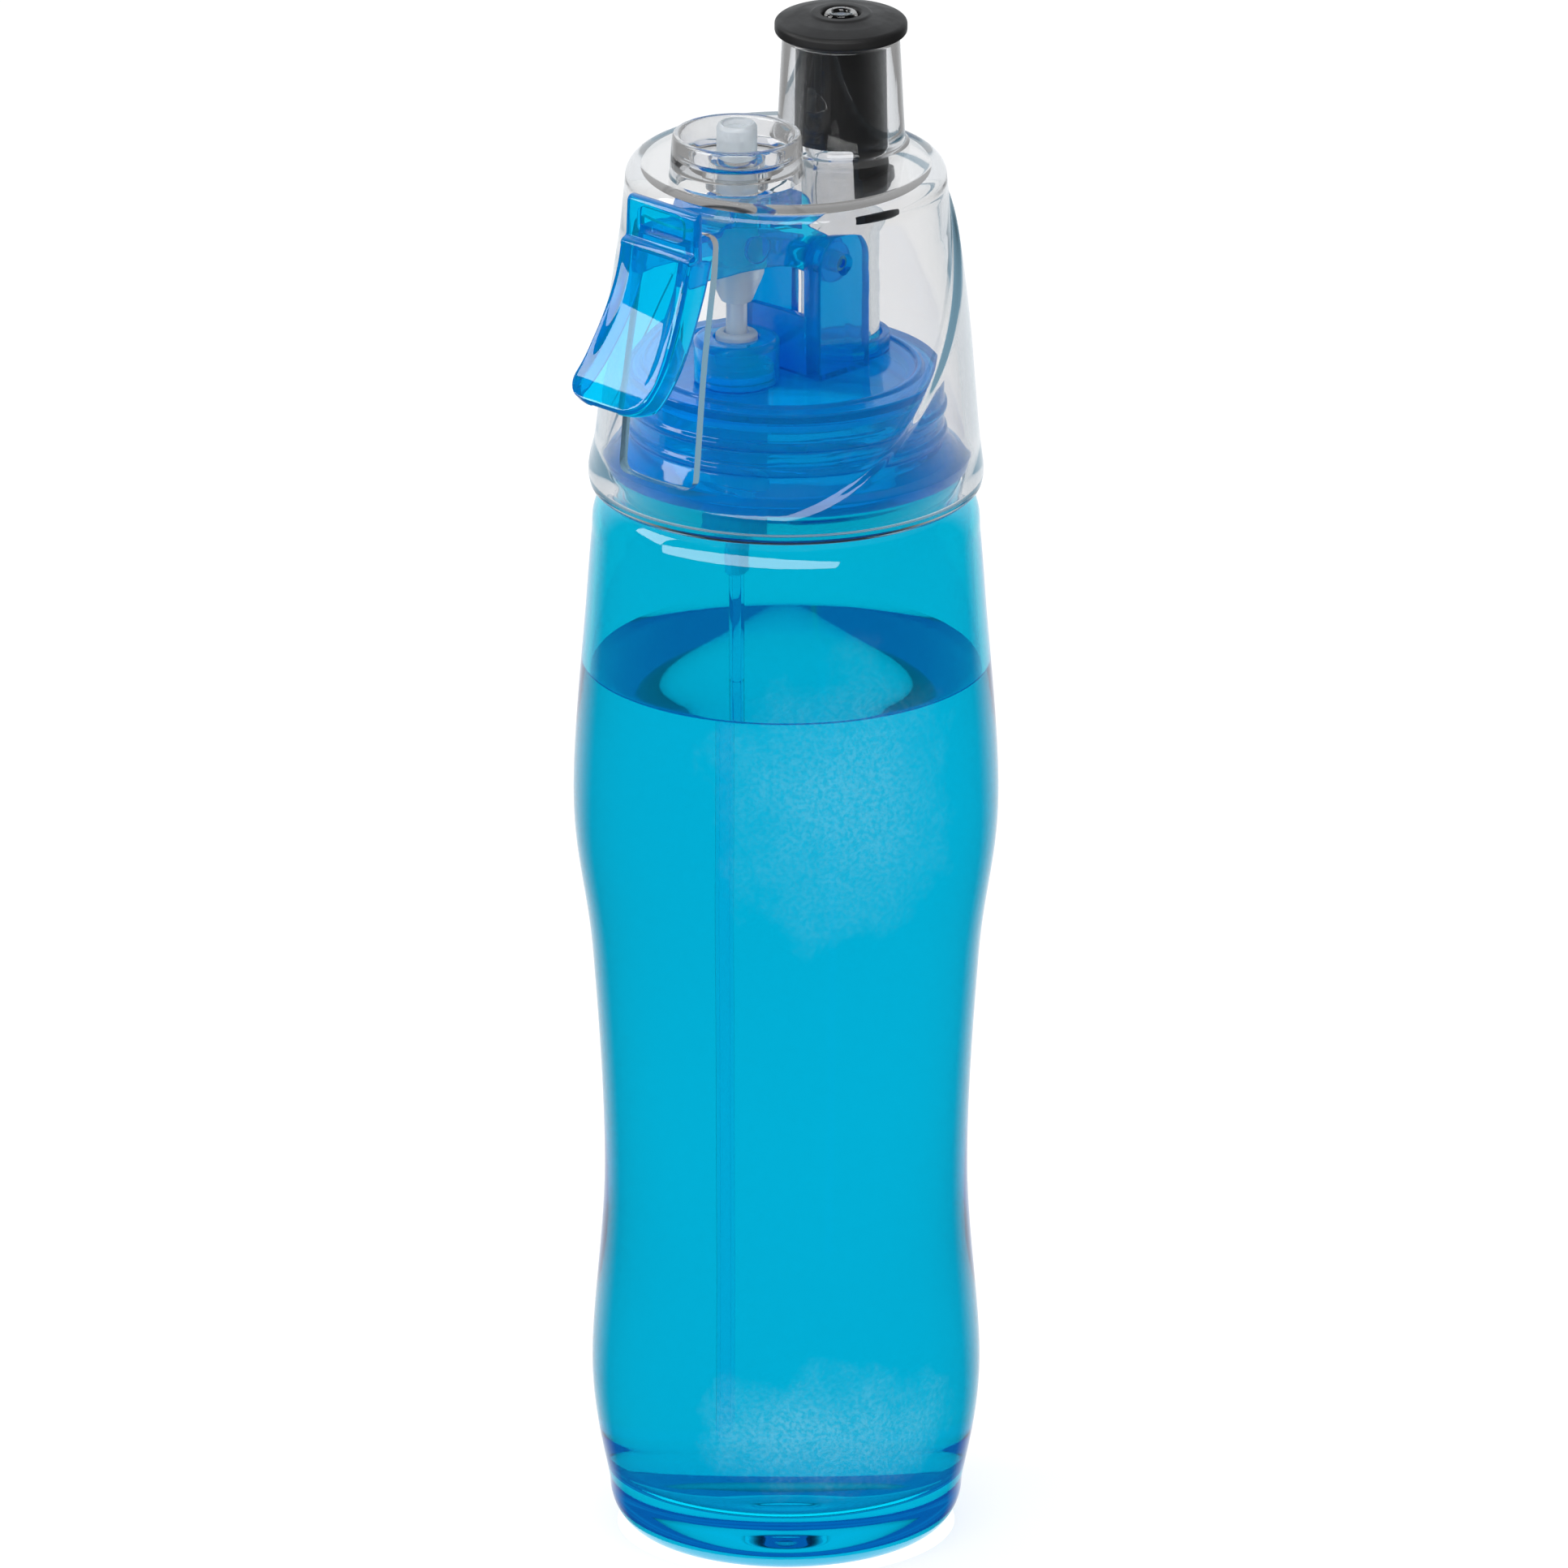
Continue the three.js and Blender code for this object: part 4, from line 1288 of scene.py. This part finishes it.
def make_floor():
    """A pale table that glows, as a light table does, so that shadows are faint. Reflections miss
    it, except right under the bottle, where it glows a little more and lights the base."""
    bm = bmesh.new()
    bmesh.ops.create_grid(bm, x_segments=8, y_segments=8, size=4)
    floor = to_object("studio_floor", bm)
    floor.location.z = -0.0003
    n = Nodes("pale_floor")
    beside = n.math("GREATER_THAN", n.from_middle(), FOOTPRINT)
    values = {
        "Base Color": n.blend(n.noise(3, 3), (0.32, 0.32, 0.32), (0.30, 0.30, 0.305)),
        "Roughness": n.spread(n.noise(40, 3), 0.6, 0.75),
        "Specular IOR Level": 0.0,
        "Emission Color": (1, 1, 1, 1),
        "Emission Strength": n.spread(beside, 1.15, 0.7, 0, 1),
    }
    table = n.add("ShaderNodeBsdfPrincipled", values).outputs["BSDF"]
    path = n.add("ShaderNodeLightPath")
    mirrored = n.math("MULTIPLY", path.outputs["Glossy Depth"], beside)
    unseen = n.add("ShaderNodeBsdfTransparent", {"Color": (1, 1, 1, 1)}).outputs["BSDF"]
    floor.data.materials.append(n.finish(n.mix(mirrored, table, unseen)))


def make_world():
    """White all round. In reflections only the backdrop behind the bottle is white, and the room is dark."""
    world = bpy.data.worlds.new("studio")
    bpy.context.scene.world = world
    world.use_nodes = True
    world.node_tree.nodes.clear()

    def add(kind, values=None, **settings):
        return add_node(world.node_tree, kind, values, **settings)

    azimuth = math.radians(VIEW_AZIMUTH)
    direction = add("ShaderNodeTexCoord").outputs["Generated"]
    path = add("ShaderNodeLightPath")

    def backdrop(rise, start, full):
        """How white a mirrored direction is: dark towards the camera, and white behind the bottle."""
        values = {0: direction, 1: (-math.sin(azimuth), math.cos(azimuth), rise)}
        facing = add("ShaderNodeVectorMath", values, operation="DOT_PRODUCT").outputs["Value"]
        values = {"Value": facing, "From Min": start, "From Max": full, "To Min": 0.02, "To Max": 1.0}
        return add("ShaderNodeMapRange", values, interpolation_type="SMOOTHSTEP").outputs["Result"]

    def has(kind):
        """1 for light that has bounced in a way at least once."""
        return add("ShaderNodeMath", {0: path.outputs[kind], 1: 0.5}, operation="GREATER_THAN").outputs[0]

    through = has("Transmission Depth")
    levels = {0: through, 2: backdrop(0.35, 0.5, 0.85), 3: backdrop(-0.6, -0.45, 0.75)}
    level = add("ShaderNodeMix", levels).outputs[0]
    white = add("ShaderNodeBackground", {"Color": (1, 1, 1, 1), "Strength": 1.0})
    room = add("ShaderNodeBackground", {"Color": (0.94, 0.97, 1, 1), "Strength": level})
    mix = add("ShaderNodeMixShader", {0: has("Glossy Depth"), 1: white.outputs[0], 2: room.outputs[0]})
    add("ShaderNodeOutputWorld", {"Surface": mix.outputs[0]})


def softbox(name, place_at, aim, width, height, radiance):
    """A rectangular lamp that shines at a point with the given brightness."""
    lamp = bpy.data.lights.new(name, "AREA")
    lamp.shape = "RECTANGLE"
    lamp.size = width
    lamp.size_y = height
    lamp.energy = radiance * math.pi * width * height
    made = bpy.data.objects.new(name, lamp)
    made.location = place_at
    made.rotation_mode = "QUATERNION"
    made.rotation_quaternion = (Vector(aim) - Vector(place_at)).to_track_quat("-Z", "Y")
    made.visible_camera = False
    made.visible_transmission = False
    bpy.context.scene.collection.objects.link(made)
    return made


def make_lights():
    """A broad lamp above, a strip that draws the highlight under the lip, and one for the trigger."""
    softbox("overhead", (0.28, -0.28, 1.0), (0, 0, 0.18), 0.6, 0.3, 5)
    front = softbox("front", (0.22, -0.565, 0.415), (0, 0, 0.185), 1.7, 0.23, 6)
    front.visible_diffuse = False
    softbox("trigger_side", (-0.66, -0.60, 0.76), (0, 0, 0.22), 0.42, 0.6, 6)


def make_camera():
    """A long lens that looks down on the bottle, part way round from the trigger."""
    azimuth, elevation = math.radians(VIEW_AZIMUTH), math.radians(VIEW_ELEVATION)
    distance = 12
    seen = 0.2692  # width of the view at the bottle
    right = Vector((math.cos(azimuth), math.sin(azimuth), 0))
    aim = Vector((0, 0, 0.134)) - right * 0.00035
    back = Vector(
        (
            math.sin(azimuth) * math.cos(elevation),
            -math.cos(azimuth) * math.cos(elevation),
            math.sin(elevation),
        )
    )
    camera = bpy.data.cameras.new("camera")
    camera.sensor_width = 36
    camera.lens = camera.sensor_width * distance / seen
    made = bpy.data.objects.new("camera", camera)
    made.location = aim + back * distance
    made.rotation_mode = "QUATERNION"
    made.rotation_quaternion = (-back).to_track_quat("-Z", "Y")
    bpy.context.scene.collection.objects.link(made)
    bpy.context.scene.camera = made


make_camera()
make_world()
make_lights()
make_floor()
make_bottle()
make_water()
make_screw_cap()
make_hinge_pin()
make_shroud()
make_lever()
make_pump()
make_spring()
make_drink_tube()
make_valve()
dress_carried_nodes()
bpy.context.scene.view_settings.view_transform = "Standard"
